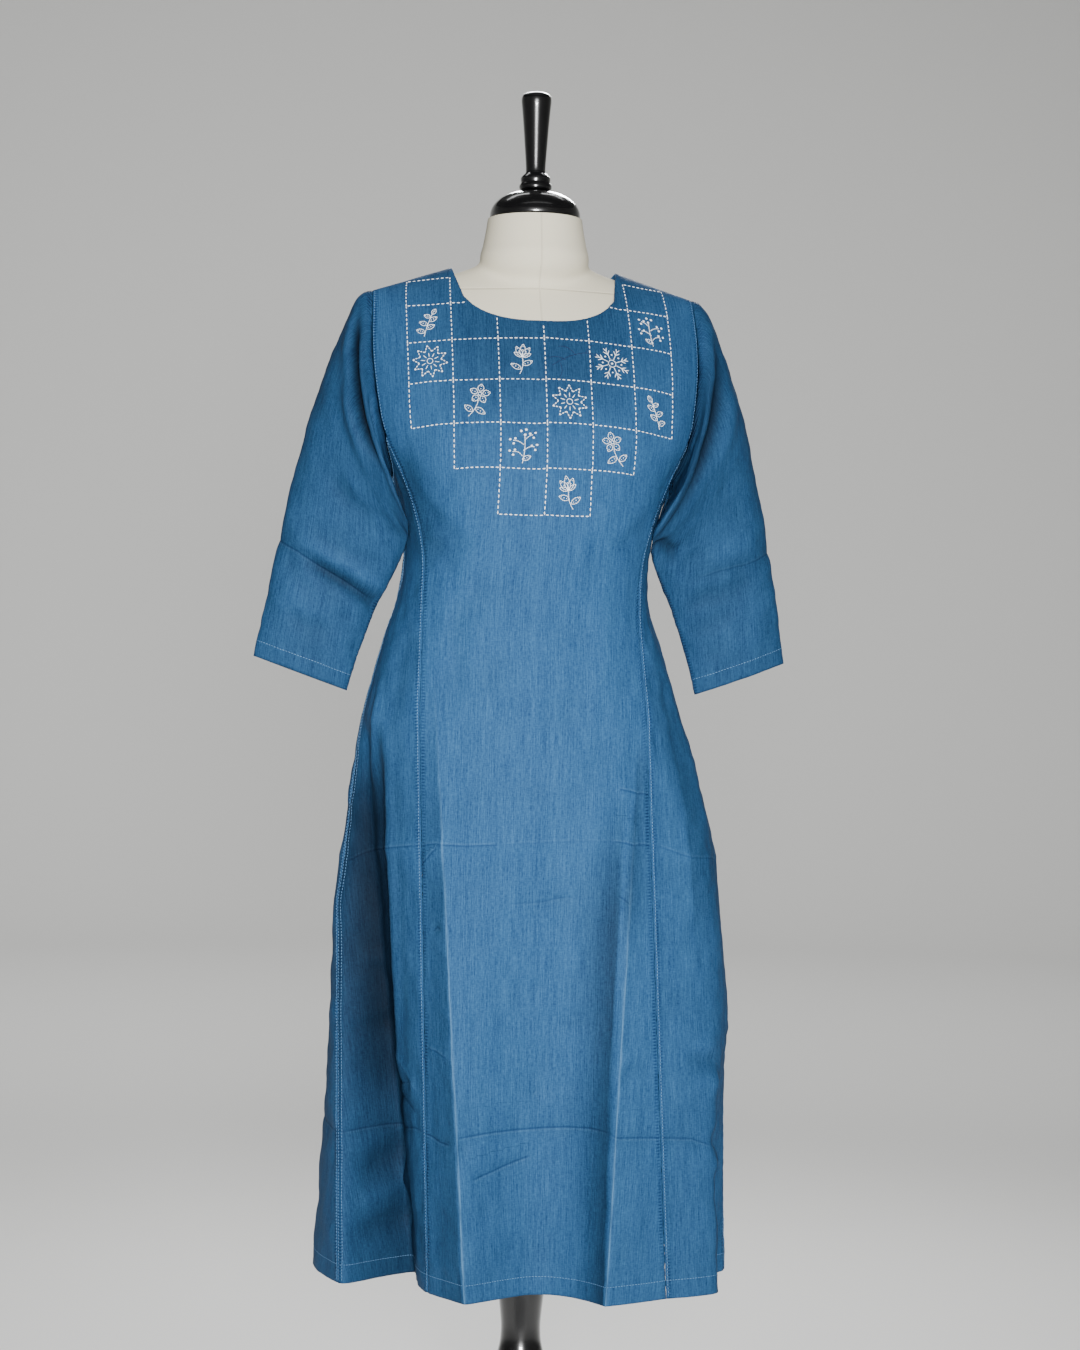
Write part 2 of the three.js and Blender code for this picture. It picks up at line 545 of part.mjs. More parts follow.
function formTorso() {
  const { height: bottom, edge } = FORM_BOTTOM;
  const heights = [bottom, bottom + edge * 0.3, bottom + edge];
  const insets = [edge, edge * 0.4, 0];
  for (const { upTo, rows } of FORM_ROWS) {
    const start = heights.at(-1);
    for (let row = 1; row <= rows; row++) heights.push(lerp(start, upTo, row / rows));
  }
  const points = heights.flatMap((height, row) => {
    const middleY = SHOULDER_Y * smoothstep(height, 1077, UNDERARM_HEIGHT);
    return Array.from({ length: FORM_COLUMNS }, (_, k) => {
      const angle = (2 * Math.PI * k) / FORM_COLUMNS;
      const radius = formRadius(angle, height, middleY) - (insets[row] ?? 0);
      return new THREE.Vector3(radius * Math.cos(angle), middleY + radius * Math.sin(angle), height);
    });
  });
  const underside = points.push(new THREE.Vector3(0, 0, heights[0])) - 1;
  const top = points.push(new THREE.Vector3(0, NECK_Y, heights.at(-1))) - 1;
  const faces = [];
  for (let k = 0; k < FORM_COLUMNS; k++) {
    const next = (k + 1) % FORM_COLUMNS;
    const last = (heights.length - 1) * FORM_COLUMNS;
    faces.push([next, k, underside], [last + k, last + next, top]);
    for (let low = 0; low < last; low += FORM_COLUMNS) {
      faces.push([low + k, low + next, low + FORM_COLUMNS + next, low + FORM_COLUMNS + k]);
    }
  }
  return closedMesh("form_torso", FORM_LINEN, points, faces);
}

function turnedWood(name, outline, segments, y = 0) {
  const profile = outline.map(([radius, height]) => new THREE.Vector2(radius, height));
  const mesh = new THREE.Mesh(new THREE.LatheGeometry(profile, segments).rotateX(Math.PI / 2), BLACK_WOOD);
  mesh.name = name;
  mesh.position.y = y;
  return mesh;
}

// ---------------------------------------------------------------- the whole
const kurti = new THREE.Group();
for (const panel of BODY_PANELS) kurti.add(bodyPanel(panel));
kurti.add(sleeve("sleeve_left", 1), sleeve("sleeve_right", -1));

const dressForm = new THREE.Group();
dressForm.add(formTorso());
dressForm.add(turnedWood("neck_cap", NECK_CAP, 32, NECK_Y), turnedWood("cap_handle", CAP_HANDLE, 24, NECK_Y));
dressForm.add(turnedWood("stand_pole", STAND_POLE, 24), turnedWood("stand_base", STAND_BASE, 48));

const whole = new THREE.Group();
whole.add(kurti, dressForm);
export default whole;
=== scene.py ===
# %% [markdown]
# # A denim kurti on a dress form
#
# A kurti is a long tunic. This one is cut from light indigo denim in six body panels and two sleeves,
# has a running-stitch yoke, and is worn by a limbless dress form on a turned black stand.
#
# The solids of every piece are already packed, and they give the places and sizes. This script gives each
# piece its finished surface: fine cloth with its press creases, sewn seams, embroidery, a linen covered
# form and lacquered wood. Lengths in the tables are millimetres, and every mesh is made in metres.

# %% Load the packed solids
import math

import bmesh
import bpy
import numpy as np
from mathutils import Matrix, Vector


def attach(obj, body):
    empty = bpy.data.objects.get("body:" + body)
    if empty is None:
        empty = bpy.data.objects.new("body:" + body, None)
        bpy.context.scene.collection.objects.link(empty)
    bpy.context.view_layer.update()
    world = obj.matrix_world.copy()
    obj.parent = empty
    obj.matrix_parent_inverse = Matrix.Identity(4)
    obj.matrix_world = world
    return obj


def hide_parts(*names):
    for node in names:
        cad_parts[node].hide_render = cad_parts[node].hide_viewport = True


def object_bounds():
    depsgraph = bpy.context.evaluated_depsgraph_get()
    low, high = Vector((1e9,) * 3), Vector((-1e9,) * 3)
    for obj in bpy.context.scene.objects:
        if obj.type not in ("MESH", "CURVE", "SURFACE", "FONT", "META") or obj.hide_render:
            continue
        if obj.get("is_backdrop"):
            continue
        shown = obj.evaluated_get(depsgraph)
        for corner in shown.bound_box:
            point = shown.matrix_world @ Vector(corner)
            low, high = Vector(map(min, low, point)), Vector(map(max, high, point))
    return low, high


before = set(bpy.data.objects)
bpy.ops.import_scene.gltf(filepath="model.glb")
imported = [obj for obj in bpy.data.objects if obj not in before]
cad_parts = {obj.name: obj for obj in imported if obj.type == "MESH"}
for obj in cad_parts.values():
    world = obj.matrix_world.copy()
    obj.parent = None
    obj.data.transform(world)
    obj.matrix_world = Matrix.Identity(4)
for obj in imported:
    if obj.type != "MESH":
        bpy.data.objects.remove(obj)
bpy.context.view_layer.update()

MM = 0.001
print("nodes:", ", ".join(sorted(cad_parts)))

# %% [markdown]
# ## The camera
#
# A level camera three metres away, a little to the wearer's right of straight ahead, sees the garment as a
# catalogue does. It could aim at an empty target, but three numbers are enough: where it stands, what it
# looks at, and a small roll.

# %% Place the camera
CAMERA_DISTANCE = 3.0
CAMERA_HEIGHT = 0.949
CAMERA_AZIMUTH = math.radians(-8)
CAMERA_ROLL = math.radians(0.76)
AIM_ASIDE = 0.012
LENS = 72.07
SIGHT = 60


def add_object(name, data):
    thing = bpy.data.objects.new(name, data)
    bpy.context.collection.objects.link(thing)
    return thing


def place_camera():
    data = bpy.data.cameras.new("camera")
    data.lens = LENS
    data.clip_end = SIGHT
    camera = add_object("camera", data)
    towards = Vector((-math.sin(CAMERA_AZIMUTH), math.cos(CAMERA_AZIMUTH), 0))
    sideways = Vector((towards.y, -towards.x, 0))
    camera.location = -towards * CAMERA_DISTANCE + Vector((0, 0, CAMERA_HEIGHT))
    aim = sideways * AIM_ASIDE + Vector((0, 0, CAMERA_HEIGHT)) - camera.location
    look = aim.to_track_quat("-Z", "Y").to_matrix()
    camera.rotation_euler = (look @ Matrix.Rotation(CAMERA_ROLL, 3, "Z")).to_euler()
    bpy.context.scene.camera = camera
    return camera


camera = place_camera()
print("camera at", [round(x, 3) for x in camera.location])

# %% [markdown]
# ## Reading the garment's sections
#
# The body is described by level sections. A table gives the size of each one, and a smooth reading between
# its rows gives every height. Numpy reads whole arrays of points at once, which a fine sheet needs.
#
# A point of the cloth has a panel coordinate, which runs round the body, and a height. The coordinate is 0 at
# centre front, 1 at the front princess seam, 2 at the side seam, 3 at the back princess seam and 4 at centre
# back, all negative on the wearer's right.

# %% The section table and its smooth reading
HEM_HEIGHT = 285
UNDERARM_HEIGHT = 1165
SEAM_MEETS_ARMHOLE = 1208
SHOULDER_Y = 8
NECK_POINT = (92, 1399)
SHOULDER_POINT = (179, 1371)
FRONT_NECK_DROP = 66
BACK_NECK_DROP = 22
NECK_SQUARENESS = 2.6
SECTION_SQUARENESS = 2.4
CHEST_ROUNDING = 1.5
BACK_ROUNDING = 1.9

BODY_COLUMNS = ("height", "half width", "front", "back", "seam", "shift")
BODY_SECTIONS = [
    (1371, 186, 122, 100, 179, 0),
    (1310, 188, 122, 100, 181, 0),
    (1258, 184, 122, 100, 177, 0),
    (1208, 174, 122, 100, 167, 0),
    (1165, 155, 122, 100, 147, -1),
    (1120, 142, 122, 98, 130, -3),
    (1077, 135, 121, 97, 120, -6),
    (1032, 139, 119, 97, 118, -9),
    (988, 152, 120, 101, 119, -10),
    (885, 181, 126, 113, 125, -7),
    (759, 206, 137, 130, 131, 1),
    (633, 222, 144, 140, 132, -1),
    (500, 232, 148, 146, 130, -3),
    (285, 230, 150, 150, 128, 0),
]


def read_table(rows, columns, key, at, by="height"):
    """A smooth reading of one column of a table, whose rows are in order of another."""
    rows = sorted(rows, key=lambda row: row[columns.index(by)])
    places = np.array([row[columns.index(by)] for row in rows], float)
    values = np.array([row[columns.index(key)] for row in rows], float)
    slopes = np.diff(values) / np.diff(places)
    wide = (values[2:] - values[:-2]) / (places[2:] - places[:-2])
    slopes = np.concatenate([slopes[:1], wide, slopes[-1:]])
    at = np.clip(at, places[0], places[-1])
    i = np.clip(np.searchsorted(places, at, side="right") - 1, 0, len(places) - 2)
    span = places[i + 1] - places[i]
    f = (at - places[i]) / span
    start = (2 * f**3 - 3 * f**2 + 1) * values[i] + (f**3 - 2 * f**2 + f) * span * slopes[i]
    end = (3 * f**2 - 2 * f**3) * values[i + 1] + (f**3 - f**2) * span * slopes[i + 1]
    return start + end


def section(key, height):
    return read_table(BODY_SECTIONS, BODY_COLUMNS, key, height)


print("half width at the waist, mm:", round(float(section("half width", 1077)), 1))

# %% The smooth body
def mix(a, b, share):
    return a + (b - a) * share


def smoothstep(x, low, high):
    t = np.clip((x - low) / (high - low), 0, 1)
    return t * t * (3 - 2 * t)


def is_front(c):
    return np.abs(c) <= 2


def from_centre(c):
    """How far round a place lies from the centre front or back, whichever is on its side of the body."""
    return np.where(is_front(c), np.abs(c), 4 - np.abs(c))


def fullness(x, half_width):
    """The share of its full depth that a level section has at a distance from the centre."""
    share = np.minimum(1, np.abs(x) / half_width)
    return (1 - share**SECTION_SQUARENESS) ** (1 / SECTION_SQUARENESS)


def angle_at(x, half_width):
    return np.arcsin(np.clip(x / half_width, 0, 1) ** (SECTION_SQUARENESS / 2))


def shoulder_height(x):
    slope = (SHOULDER_POINT[1] - NECK_POINT[1]) / (SHOULDER_POINT[0] - NECK_POINT[0])
    return NECK_POINT[1] + (np.abs(x) - NECK_POINT[0]) * slope


def crown(x, height, rounding):
    """The share of its depth that the chest or back keeps on its way up to the shoulder line."""
    t = np.clip((height - UNDERARM_HEIGHT) / (shoulder_height(x) - UNDERARM_HEIGHT), 0, 1)
    return (1 - t**rounding) ** (1 / rounding)


def smooth_body(c, height):
    """A point of the body without its folds, in millimetres."""
    c, height = np.broadcast_arrays(np.asarray(c, float), np.asarray(height, float))
    front, m = is_front(c), from_centre(c)
    seam, half_width = section("seam", height), section("half width", height)
    level = np.minimum(height, UNDERARM_HEIGHT)
    across = np.minimum(m, 1)
    depth = np.where(front, -section("front", level), section("back", level))
    depth = depth * fullness(across * section("seam", level), section("half width", level))
    x = across * seam
    rise = np.where(front, crown(x, height, CHEST_ROUNDING), crown(x, height, BACK_ROUNDING))
    y = np.where(height > UNDERARM_HEIGHT, mix(SHOULDER_Y, depth, rise), depth)
    seam_angle = angle_at(seam, half_width)
    angle = mix(seam_angle, math.pi / 2, np.maximum(m - 1, 0))
    round_x = half_width * np.sin(angle) ** (2 / SECTION_SQUARENESS)
    shrink = (np.maximum(np.cos(angle), 0) / np.cos(seam_angle)) ** (2 / SECTION_SQUARENESS)
    x, y = np.where(m > 1, round_x, x), np.where(m > 1, y * shrink, y)
    return np.stack([np.sign(c) * x + section("shift", height), y, height], axis=-1)


def passed(points, axis=0):
    """The distance passed over a line or a grid of points, from its first one."""
    steps = np.linalg.norm(np.diff(points, axis=axis), axis=-1).cumsum(axis=axis)
    start = np.zeros_like(np.take(steps, [0], axis=axis))
    return np.concatenate([start, steps], axis=axis)


print("side seam at the hip, mm:", smooth_body(2.0, 759.0).round(1))

# %% [markdown]
# ## The folds of the skirt
#
# Below the waist the cloth hangs in a few large folds. Some are pressed in, with an edge as sharp as an
# iron leaves, and others only hang. Each one is a line that starts on the smooth body and runs straight down
# to a chosen point of the hem, and the cloth between two lines follows both. A softness, in panel
# coordinates, blurs the folds that were never pressed.

# %% Fold lines
FOLD_COLUMNS = ("from", "top", "hem", "x", "y", "softness")
FOLD_BENDS = {"front ridge, left": 0.06}
SKIRT_FOLDS = {
    "back ridge, right": (850, -3.486, -3.6, -68, 168, 0.05),
    "back valley, right": (780, -3.2, -3.3, -118, 130, 0.08),
    "back princess seam, right": (850, -3, -3, -166, 156, 0.06),
    "back corner, right": (600, -2.6, -2.66, -222, 121, 0.16),
    "side seam, right": (700, -2, -2, -207, -39, 0.08),
    "side valley, right": (900, -1.85, -1.49, -114, 22, 0.05),
    "front princess seam, right": (900, -1, -1, -114, -86, 0.03),
    "front ridge, right": (930, -0.88, -0.6, -81, -146, 0.015),
    "front ridge, left": (930, 0.965, 0.6, 66, -167, 0.015),
    "front princess seam, left": (900, 1, 1, 138, -136, 0.03),
    "side ridge, left": (620, 1.5, 1.42, 205, -112, 0.08),
    "side valley, left": (560, 1.75, 1.72, 164, -50, 0.07),
    "side seam, left": (600, 2, 2, 230, -2, 0.03),
    "back corner, left": (640, 2.6, 2.65, 216, 112, 0.16),
    "back princess seam, left": (850, 3, 3, 160, 156, 0.06),
    "back valley, left": (760, 3.2, 3.28, 112, 132, 0.08),
    "back ridge, left": (850, 3.486, 3.6, 64, 168, 0.05),
}


def fold(name, key):
    return SKIRT_FOLDS[name][FOLD_COLUMNS.index(key)]


def share_down(start, height):
    return np.clip((start - height) / (start - HEM_HEIGHT), 0, 1)


def fold_line(name, height):
    down = share_down(fold(name, "from"), height)
    bend = FOLD_BENDS.get(name, 0) * 4 * down * (1 - down)
    return mix(fold(name, "top"), fold(name, "hem"), down) + bend


print("folds of the skirt:", len(SKIRT_FOLDS))

# %% The cloth between the folds
ROUND_THE_BODY = 8
# Each row has a distance, as a share of the softness, and the weight of the cloth there.
BLUR = ((-1.5, 0.1), (-0.75, 0.22), (0, 0.36), (0.75, 0.22), (1.5, 0.1))
HOLLOWS = [
    {"between": ("front ridge, right", "front ridge, left"), "from": 820, "depth": 58, "skew": 1.35},
    {"between": ("back ridge, left", "back ridge, right"), "from": 760, "depth": -26, "skew": 1},
]
HOLLOW_SOFTNESS = 0.85


def ahead(to, start):
    """How far one panel coordinate lies ahead of another, going round anticlockwise."""
    return np.mod(to - start, ROUND_THE_BODY)


def fold_pull(name, height):
    """How far a fold draws the cloth from the smooth body, in x and y."""
    start = smooth_body(fold(name, "top"), fold(name, "from"))[..., :2]
    end = np.array([fold(name, "x"), fold(name, "y")], float)
    down = share_down(fold(name, "from"), height)[..., None]
    pull = mix(start, end, down) - smooth_body(fold_line(name, height), height)[..., :2]
    return np.where((height >= fold(name, "from"))[..., None], 0, pull)


def wrap(c):
    return np.where(c > 4, c - ROUND_THE_BODY, np.where(c < -4, c + ROUND_THE_BODY, c))


def skirt_pull(c, height):
    """The pull of all the folds at each point, soft or sharp as the nearest ones are."""
    names = list(SKIRT_FOLDS)
    lines = [fold_line(name, height) for name in names]
    pulls = [fold_pull(name, height) for name in names]

    def between(at, value):
        found = np.zeros(at.shape + np.shape(value(0))[at.ndim:])
        for k in range(len(names)):
            after = (k + 1) % len(names)
            span = ahead(lines[after], lines[k])
            share = ahead(at, lines[k]) / span
            inside = share < 1
            found[inside] = mix(value(k)[inside].T, value(after)[inside].T, share[inside]).T
        return found

    softness = between(c, lambda k: np.full(c.shape, fold(names[k], "softness")))
    total = 0
    for offset, weight in BLUR:
        total = total + weight * between(wrap(c + offset * softness), lambda k: pulls[k])
    return total


def body(c, height):
    """A point of the cloth's outer face, in millimetres."""
    c, height = np.broadcast_arrays(wrap(np.asarray(c, float)), np.asarray(height, float))
    point = smooth_body(c, height)
    point[..., :2] += skirt_pull(c, height)
    for hollow in HOLLOWS:
        start, end = (fold_line(name, height) for name in hollow["between"])
        across = ahead(c, start) / ahead(end, start)
        sag = np.sin(math.pi * np.minimum(across, 1) ** hollow["skew"])
        sag = np.where(across < 1, np.maximum(sag, 0) ** HOLLOW_SOFTNESS, 0)
        point[..., 1] += hollow["depth"] * share_down(hollow["from"], height) * sag
    return point


print("front ridge at the hem, mm:", body(np.array([0.6]), np.array([285.0])).round(1))

# %% [markdown]
# ## Where each panel ends
#
# The side panels stop in the lower curve of the armhole. The centre panels run on to the shoulder seams and
# the neckline, and the height at which they stop is found by halving, because the neckline is a function of
# the width and the width is a function of the height.

# %% Upper edges
HALVINGS = 36
TOP_IS_WITHIN = 270


def neck_height(x, drop):
    share = np.clip(np.abs(x) / NECK_POINT[0], 0, 1)
    return NECK_POINT[1] - drop * (1 - share**NECK_SQUARENESS) ** (1 / NECK_SQUARENESS)


def side_top(c):
    """The lower curve of the armhole, where a side panel ends."""
    rise = SEAM_MEETS_ARMHOLE - UNDERARM_HEIGHT
    return UNDERARM_HEIGHT + rise * (1 - np.sin(math.pi / 2 * (from_centre(wrap(c)) - 1)))


def crossing(rising, low, high):
    """Where a function that rises from below zero to above it crosses zero, for whole arrays at once."""
    for _ in range(HALVINGS):
        middle = (low + high) / 2
        below = rising(middle) < 0
        low, high = np.where(below, middle, low), np.where(below, high, middle)
    return (low + high) / 2


def centre_top(c):
    """The height of the neckline or of the shoulder seam, where a centre panel ends."""
    c = wrap(np.asarray(c, float))
    drop = np.where(is_front(c), FRONT_NECK_DROP, BACK_NECK_DROP)

    def above(height):
        x = from_centre(c) * section("seam", height)
        return height - np.where(x < NECK_POINT[0], neck_height(x, drop), shoulder_height(x))

    low = np.full(c.shape, float(UNDERARM_HEIGHT))
    return crossing(above, low, low + TOP_IS_WITHIN)


print("neckline at centre front, mm:", round(float(centre_top([0.0])[0]), 1))

# %% [markdown]
# ## A sheet of cloth
#
# A panel is a grid, bent into place. Its columns follow the seams, the pressed ridges and the necks of the
# panels, so that no sharp crease runs across a face. Each point also keeps its place on the flat cloth:
# how far across it lies and how far along the grain. Creases, stitches and the weave are all laid out
# in that flat place, as they are on real cloth. Cloth simulation could fold the skirt as well, but its folds
# would not fall where these were pressed.

# %% The sheet
class Sheet:
    """A grid of points of cloth. Rows run up the cloth, and columns run round it anticlockwise."""

    def __init__(self, name, points, across, along):
        self.name, self.points, self.across, self.along = name, points, across, along

    def normals(self):
        round_it = np.gradient(self.points, axis=1)
        up = np.gradient(self.points, axis=0)
        normal = np.cross(round_it, up)
        return normal / np.maximum(np.linalg.norm(normal, axis=-1, keepdims=True), 1e-9)

    def lift(self, relief):
        self.points = self.points + self.normals() * relief[..., None]

    def kept(self):
        """What each point of the mesh keeps for its material, in millimetres or as a share."""
        if not hasattr(self, "lines"):
            return {}
        kept = {"to_seam": self.to_seam, "shade": self.shade}
        for family, (distance, strength) in self.lines.items():
            kept[family + "_line"], kept[family + "_worn"] = distance, strength
        return kept

    def read(self, grid, row, column):
        """A value between the points of a grid."""
        rows, columns = grid.shape[:2]
        i = min(max(int(row), 0), rows - 2)
        j = min(max(int(column), 0), columns - 2)
        low = mix(grid[i, j], grid[i, j + 1], column - j)
        high = mix(grid[i + 1, j], grid[i + 1, j + 1], column - j)
        return mix(low, high, row - i)

    def find(self, u, v, across=None, along=None):
        """The row and column where two grids, such as across and along, have these values."""
        across = self.across if across is None else across
        along = self.along if along is None else along
        rows, columns = across.shape
        row = rows / 2
        for _ in range(6):
            i = min(max(int(row), 0), rows - 2)
            line = mix(across[i], across[i + 1], row - i)
            column = float(np.interp(u, line, np.arange(columns)))
            j = min(max(int(column), 0), columns - 2)
            line = mix(along[:, j], along[:, j + 1], column - j)
            row = float(np.interp(v, line, np.arange(rows)))
        return row, column

    def flat(self, place):
        """The flat place of a panel coordinate and height. A sleeve's places are flat already."""
        if not hasattr(self, "c"):
            return place
        row, column = self.find(*place, across=self.c, along=self.height)
        return float(self.read(self.across, row, column)), float(self.read(self.along, row, column))

    def place(self, row, column):
        """The point and the outward direction of the cloth there."""
        point = self.read(self.points, row, column)
        normal = self.read(self.facing, row, column)
        return Vector(point), Vector(normal).normalized()

# %% Columns of the body panels
NECK_LINES_FROM = 930
NECK_LINES = {"neck line, right": (-0.514, -0.34), "neck line, left": (0.514, 0.34)}
SEAM_EASE = 1.35
CROWDED_FROM = 1000

# A panel has the lines that its columns follow, the number of columns between each two of them, and the
# panel coordinate that its distances across start from.
BODY_PANELS = {
    "front_centre_panel": {
        "lines": (-1, "front ridge, right", "neck line, right", 0, "neck line, left", "front ridge, left", 1),
        "columns": (15, 14, 16, 16, 14, 15),
        "zero": 0,
    },
    "front_side_panel_left": {
        "lines": (1, "side ridge, left", "side valley, left", 2),
        "columns": (20, 14, 16),
        "zero": 1,
    },
    "back_side_panel_left": {"lines": (2, "back corner, left", 3), "columns": (24, 18), "zero": 3},
    "back_centre_panel": {
        "lines": (3, "back valley, left", "back ridge, left", 4, "back ridge, right",
                  "back valley, right", 5),
        "columns": (11, 11, 14, 14, 11, 11),
        "zero": 4,
    },
    "back_side_panel_right": {"lines": (-3, "back corner, right", -2), "columns": (18, 24), "zero": -3},
    "front_side_panel_right": {"lines": (-2, "side valley, right", -1), "columns": (22, 28), "zero": -1},
}


def line_at(line, height):
    """The panel coordinate of a fold, a neck line or a seam at each height."""
    if line in NECK_LINES:
        top, hem = NECK_LINES[line]
        return mix(top, hem, share_down(NECK_LINES_FROM, height))
    return fold_line(line, height) if isinstance(line, str) else np.full(np.shape(height), float(line))


def column_places(panel, height):
    """Panel coordinates of the columns, at each height. They crowd at the seams and under the neckline."""
    lines = [line_at(line, height) for line in panel["lines"]]
    for k in range(1, len(lines)):
        lines[k] = np.where(lines[k] < lines[k - 1], lines[k] + ROUND_THE_BODY, lines[k])
    near_neck = smoothstep(height, CROWDED_FROM, UNDERARM_HEIGHT)
    places = [lines[0]]
    last = len(panel["columns"]) - 1
    for k, count in enumerate(panel["columns"]):
        share = np.arange(1, count + 1) / count
        if k == 0:
            share = share**SEAM_EASE
        if k == last:
            share = 1 - (1 - share) ** SEAM_EASE
        steep = share
        if panel["lines"][k + 1] in (0, 4):
            steep = np.sin(math.pi / 2 * share)
        elif panel["lines"][k] in (0, 4):
            steep = 1 - np.cos(math.pi / 2 * share)
        for even, crowded in zip(share, steep):
            places.append(mix(lines[k], lines[k + 1], mix(even, crowded, near_neck)))
    return np.stack(places, axis=-1)


print("columns of the front centre panel:", sum(BODY_PANELS["front_centre_panel"]["columns"]) + 1)

# %% The sheets of the body panels
SKIRT_STEP = 3.0
CHEST_STEPS = 70
CHEST_EASE = 1.5
SIDE_TOP_STEPS = 12
WALK_STEPS = 17


def is_side(name):
    return "side" in name


def across_from(zero, c, height):
    """Distance over the cloth from one panel coordinate to another, along a level line."""
    steps = np.linspace(0, 1, WALK_STEPS)[:, None, None]
    walk = smooth_body(mix(zero, c, steps), np.broadcast_to(height, (WALK_STEPS, *height.shape)))
    return np.sign(c - zero) * passed(walk)[-1]


def body_sheet(name):
    """The sheet of one panel: even rows up to the underarm, and above it rows that end on its upper edge."""
    panel = BODY_PANELS[name]
    skirt = np.arange(HEM_HEIGHT, UNDERARM_HEIGHT + SKIRT_STEP / 2, SKIRT_STEP)
    if is_side(name):
        shares = np.linspace(0, 1, SIDE_TOP_STEPS + 1)[1:]
        level = mix(UNDERARM_HEIGHT, SEAM_MEETS_ARMHOLE, shares)
    else:
        shares = 1 - (1 - np.arange(1, CHEST_STEPS + 1) / CHEST_STEPS) ** CHEST_EASE
        level = mix(UNDERARM_HEIGHT, SHOULDER_POINT[1], shares)
    c = column_places(panel, np.concatenate([skirt, level]))
    top = side_top(c) if is_side(name) else centre_top(c)
    height = np.broadcast_to(np.concatenate([skirt, level])[:, None], c.shape).copy()
    upper = slice(len(skirt), None)
    height[upper] = mix(UNDERARM_HEIGHT, top[upper], shares[:, None])
    points = body(c, height)
    across = passed(points, axis=1)
    zero = panel["zero"]
    middle = np.argmin(np.abs(c - zero), axis=1)
    across -= np.take_along_axis(across, middle[:, None], axis=1)
    across[upper] = across_from(zero, c[upper], height[upper])
    sheet = Sheet(name, points, across, passed(points))
    sheet.c, sheet.height = c, height
    return sheet


sheets = {name: body_sheet(name) for name in BODY_PANELS}
for name, sheet in sheets.items():
    width = sheet.across[0, -1] - sheet.across[0, 0]
    print(name, sheet.c.shape, "hem", round(width), "mm, length", round(sheet.along[-1].max()), "mm")

# %% [markdown]
# ## The sleeves
#
# A sleeve is a limp tube, set into the armhole. Its sections are flat ovals between an outer and an inner
# edge, and the first few still follow the armhole's own curve. Its columns start at the seam under the arm,
# and its rows run up from the cuff, as the rows of the body run up from the hem.

# %% Sleeve sections
SLEEVE_SHIFT = -1
SLEEVE_COLUMNS = ("place", "outer x", "outer z", "inner x", "inner z", "y", "depth", "pinch", "as armhole")
SLEEVE_SECTIONS = [
    (0, 179, 1371, 155, 1165, 7, 48, 2, 1),
    (1, 190, 1367, 160, 1163, 7, 52, 2, 0.85),
    (2, 201, 1352, 161, 1152, 8, 55, 2, 0.6),
    (3, 212, 1325, 159, 1137, 9, 56, 2, 0.35),
    (4, 228, 1284, 154, 1120, 11, 54, 2, 0.15),
    (5, 244, 1234, 148, 1105, 14, 49, 2, 0),
    (6, 259, 1175, 144, 1089, 19, 42, 1.9, 0),
    (7, 273, 1115, 151, 1062, 25, 35, 1.8, 0),
    (8, 285, 1055, 169, 1020, 33, 28, 1.7, 0),
    (9, 295, 1000, 188, 964, 42, 22, 1.6, 0),
    (10, 301, 966, 198, 929, 48, 17, 1.6, 0),
]
# The inner edge of each sleeve leans on the body: how much closer it lies, at which place along the sleeve,
# over what reach, and how far forward. The wearer's left is 1 and right is -1.
SLEEVE_REST = {1: (21, 4.4, 2.3, 76), -1: (8, 4.2, 2.3, 70)}


def sleeve_section(key, place):
    return read_table(SLEEVE_SECTIONS, SLEEVE_COLUMNS, key, place, by="place")


def limp(side, place, angle):
    """A point of a limp sleeve: angle 0 is its outer edge, pi / 2 its front and pi the underarm."""
    share = (1 - np.cos(angle)) / 2
    x = mix(sleeve_section("outer x", place), sleeve_section("inner x", place), share)
    height = mix(sleeve_section("outer z", place), sleeve_section("inner z", place), share)
    round_it = np.sin(angle)
    power = 2 / sleeve_section("pinch", place)
    forwards = np.sign(round_it) * np.abs(round_it) ** power
    closer, at, reach, lean = SLEEVE_REST[side]
    near = np.exp(-(((place - at) / reach) ** 2)) * share**2
    x = x - closer * near
    y = sleeve_section("y", place) - sleeve_section("depth", place) * forwards - lean * near
    return np.stack([side * x + SLEEVE_SHIFT, y, height], axis=-1)


print("outer edge of the left cuff, mm:", limp(1, 10.0, 0.0).round(1))

# %% The seam round an armhole
ARMHOLE_GAP = 0.45
SHOULDER_STEPS = 60
UNDERARM_STEPS = 79
SHOULDER_AWAY = (1, 0, 0)
UNDERARM_AWAY = (0.37, 0, 0.93)


def armhole(side, angles):
    """Points of the seam round an armhole, at angles that match the sleeve's."""
    top = float(centre_top([1.0])[0])
    upper = np.linspace(top, SEAM_MEETS_ARMHOLE, SHOULDER_STEPS)
    lower = np.linspace(1, 3, UNDERARM_STEPS + 2)[1:-1]
    c = np.concatenate([np.full(SHOULDER_STEPS, 1.0), lower, np.full(SHOULDER_STEPS, 3.0)])
    height = np.concatenate([upper, side_top(lower), upper[::-1]])
    seam = body(side * c, height)
    beside = [SHOULDER_AWAY] * SHOULDER_STEPS
    away = np.array(beside + [UNDERARM_AWAY] * UNDERARM_STEPS + beside) * (side, 1, 1)
    seam = seam + away * ARMHOLE_GAP
    reach = passed(seam)
    lowest = int(np.argmin(seam[:, 2]))
    front = math.pi * reach / reach[lowest]
    back = math.pi * (1 + (reach - reach[lowest]) / (reach[-1] - reach[lowest]))
    own = np.where(np.arange(len(seam)) <= lowest, front, back)
    return np.stack([np.interp(angles, own, seam[:, k]) for k in range(3)], axis=-1)


print("lowest point of the left armhole, mm:", armhole(1, np.array([math.pi])).round(1))

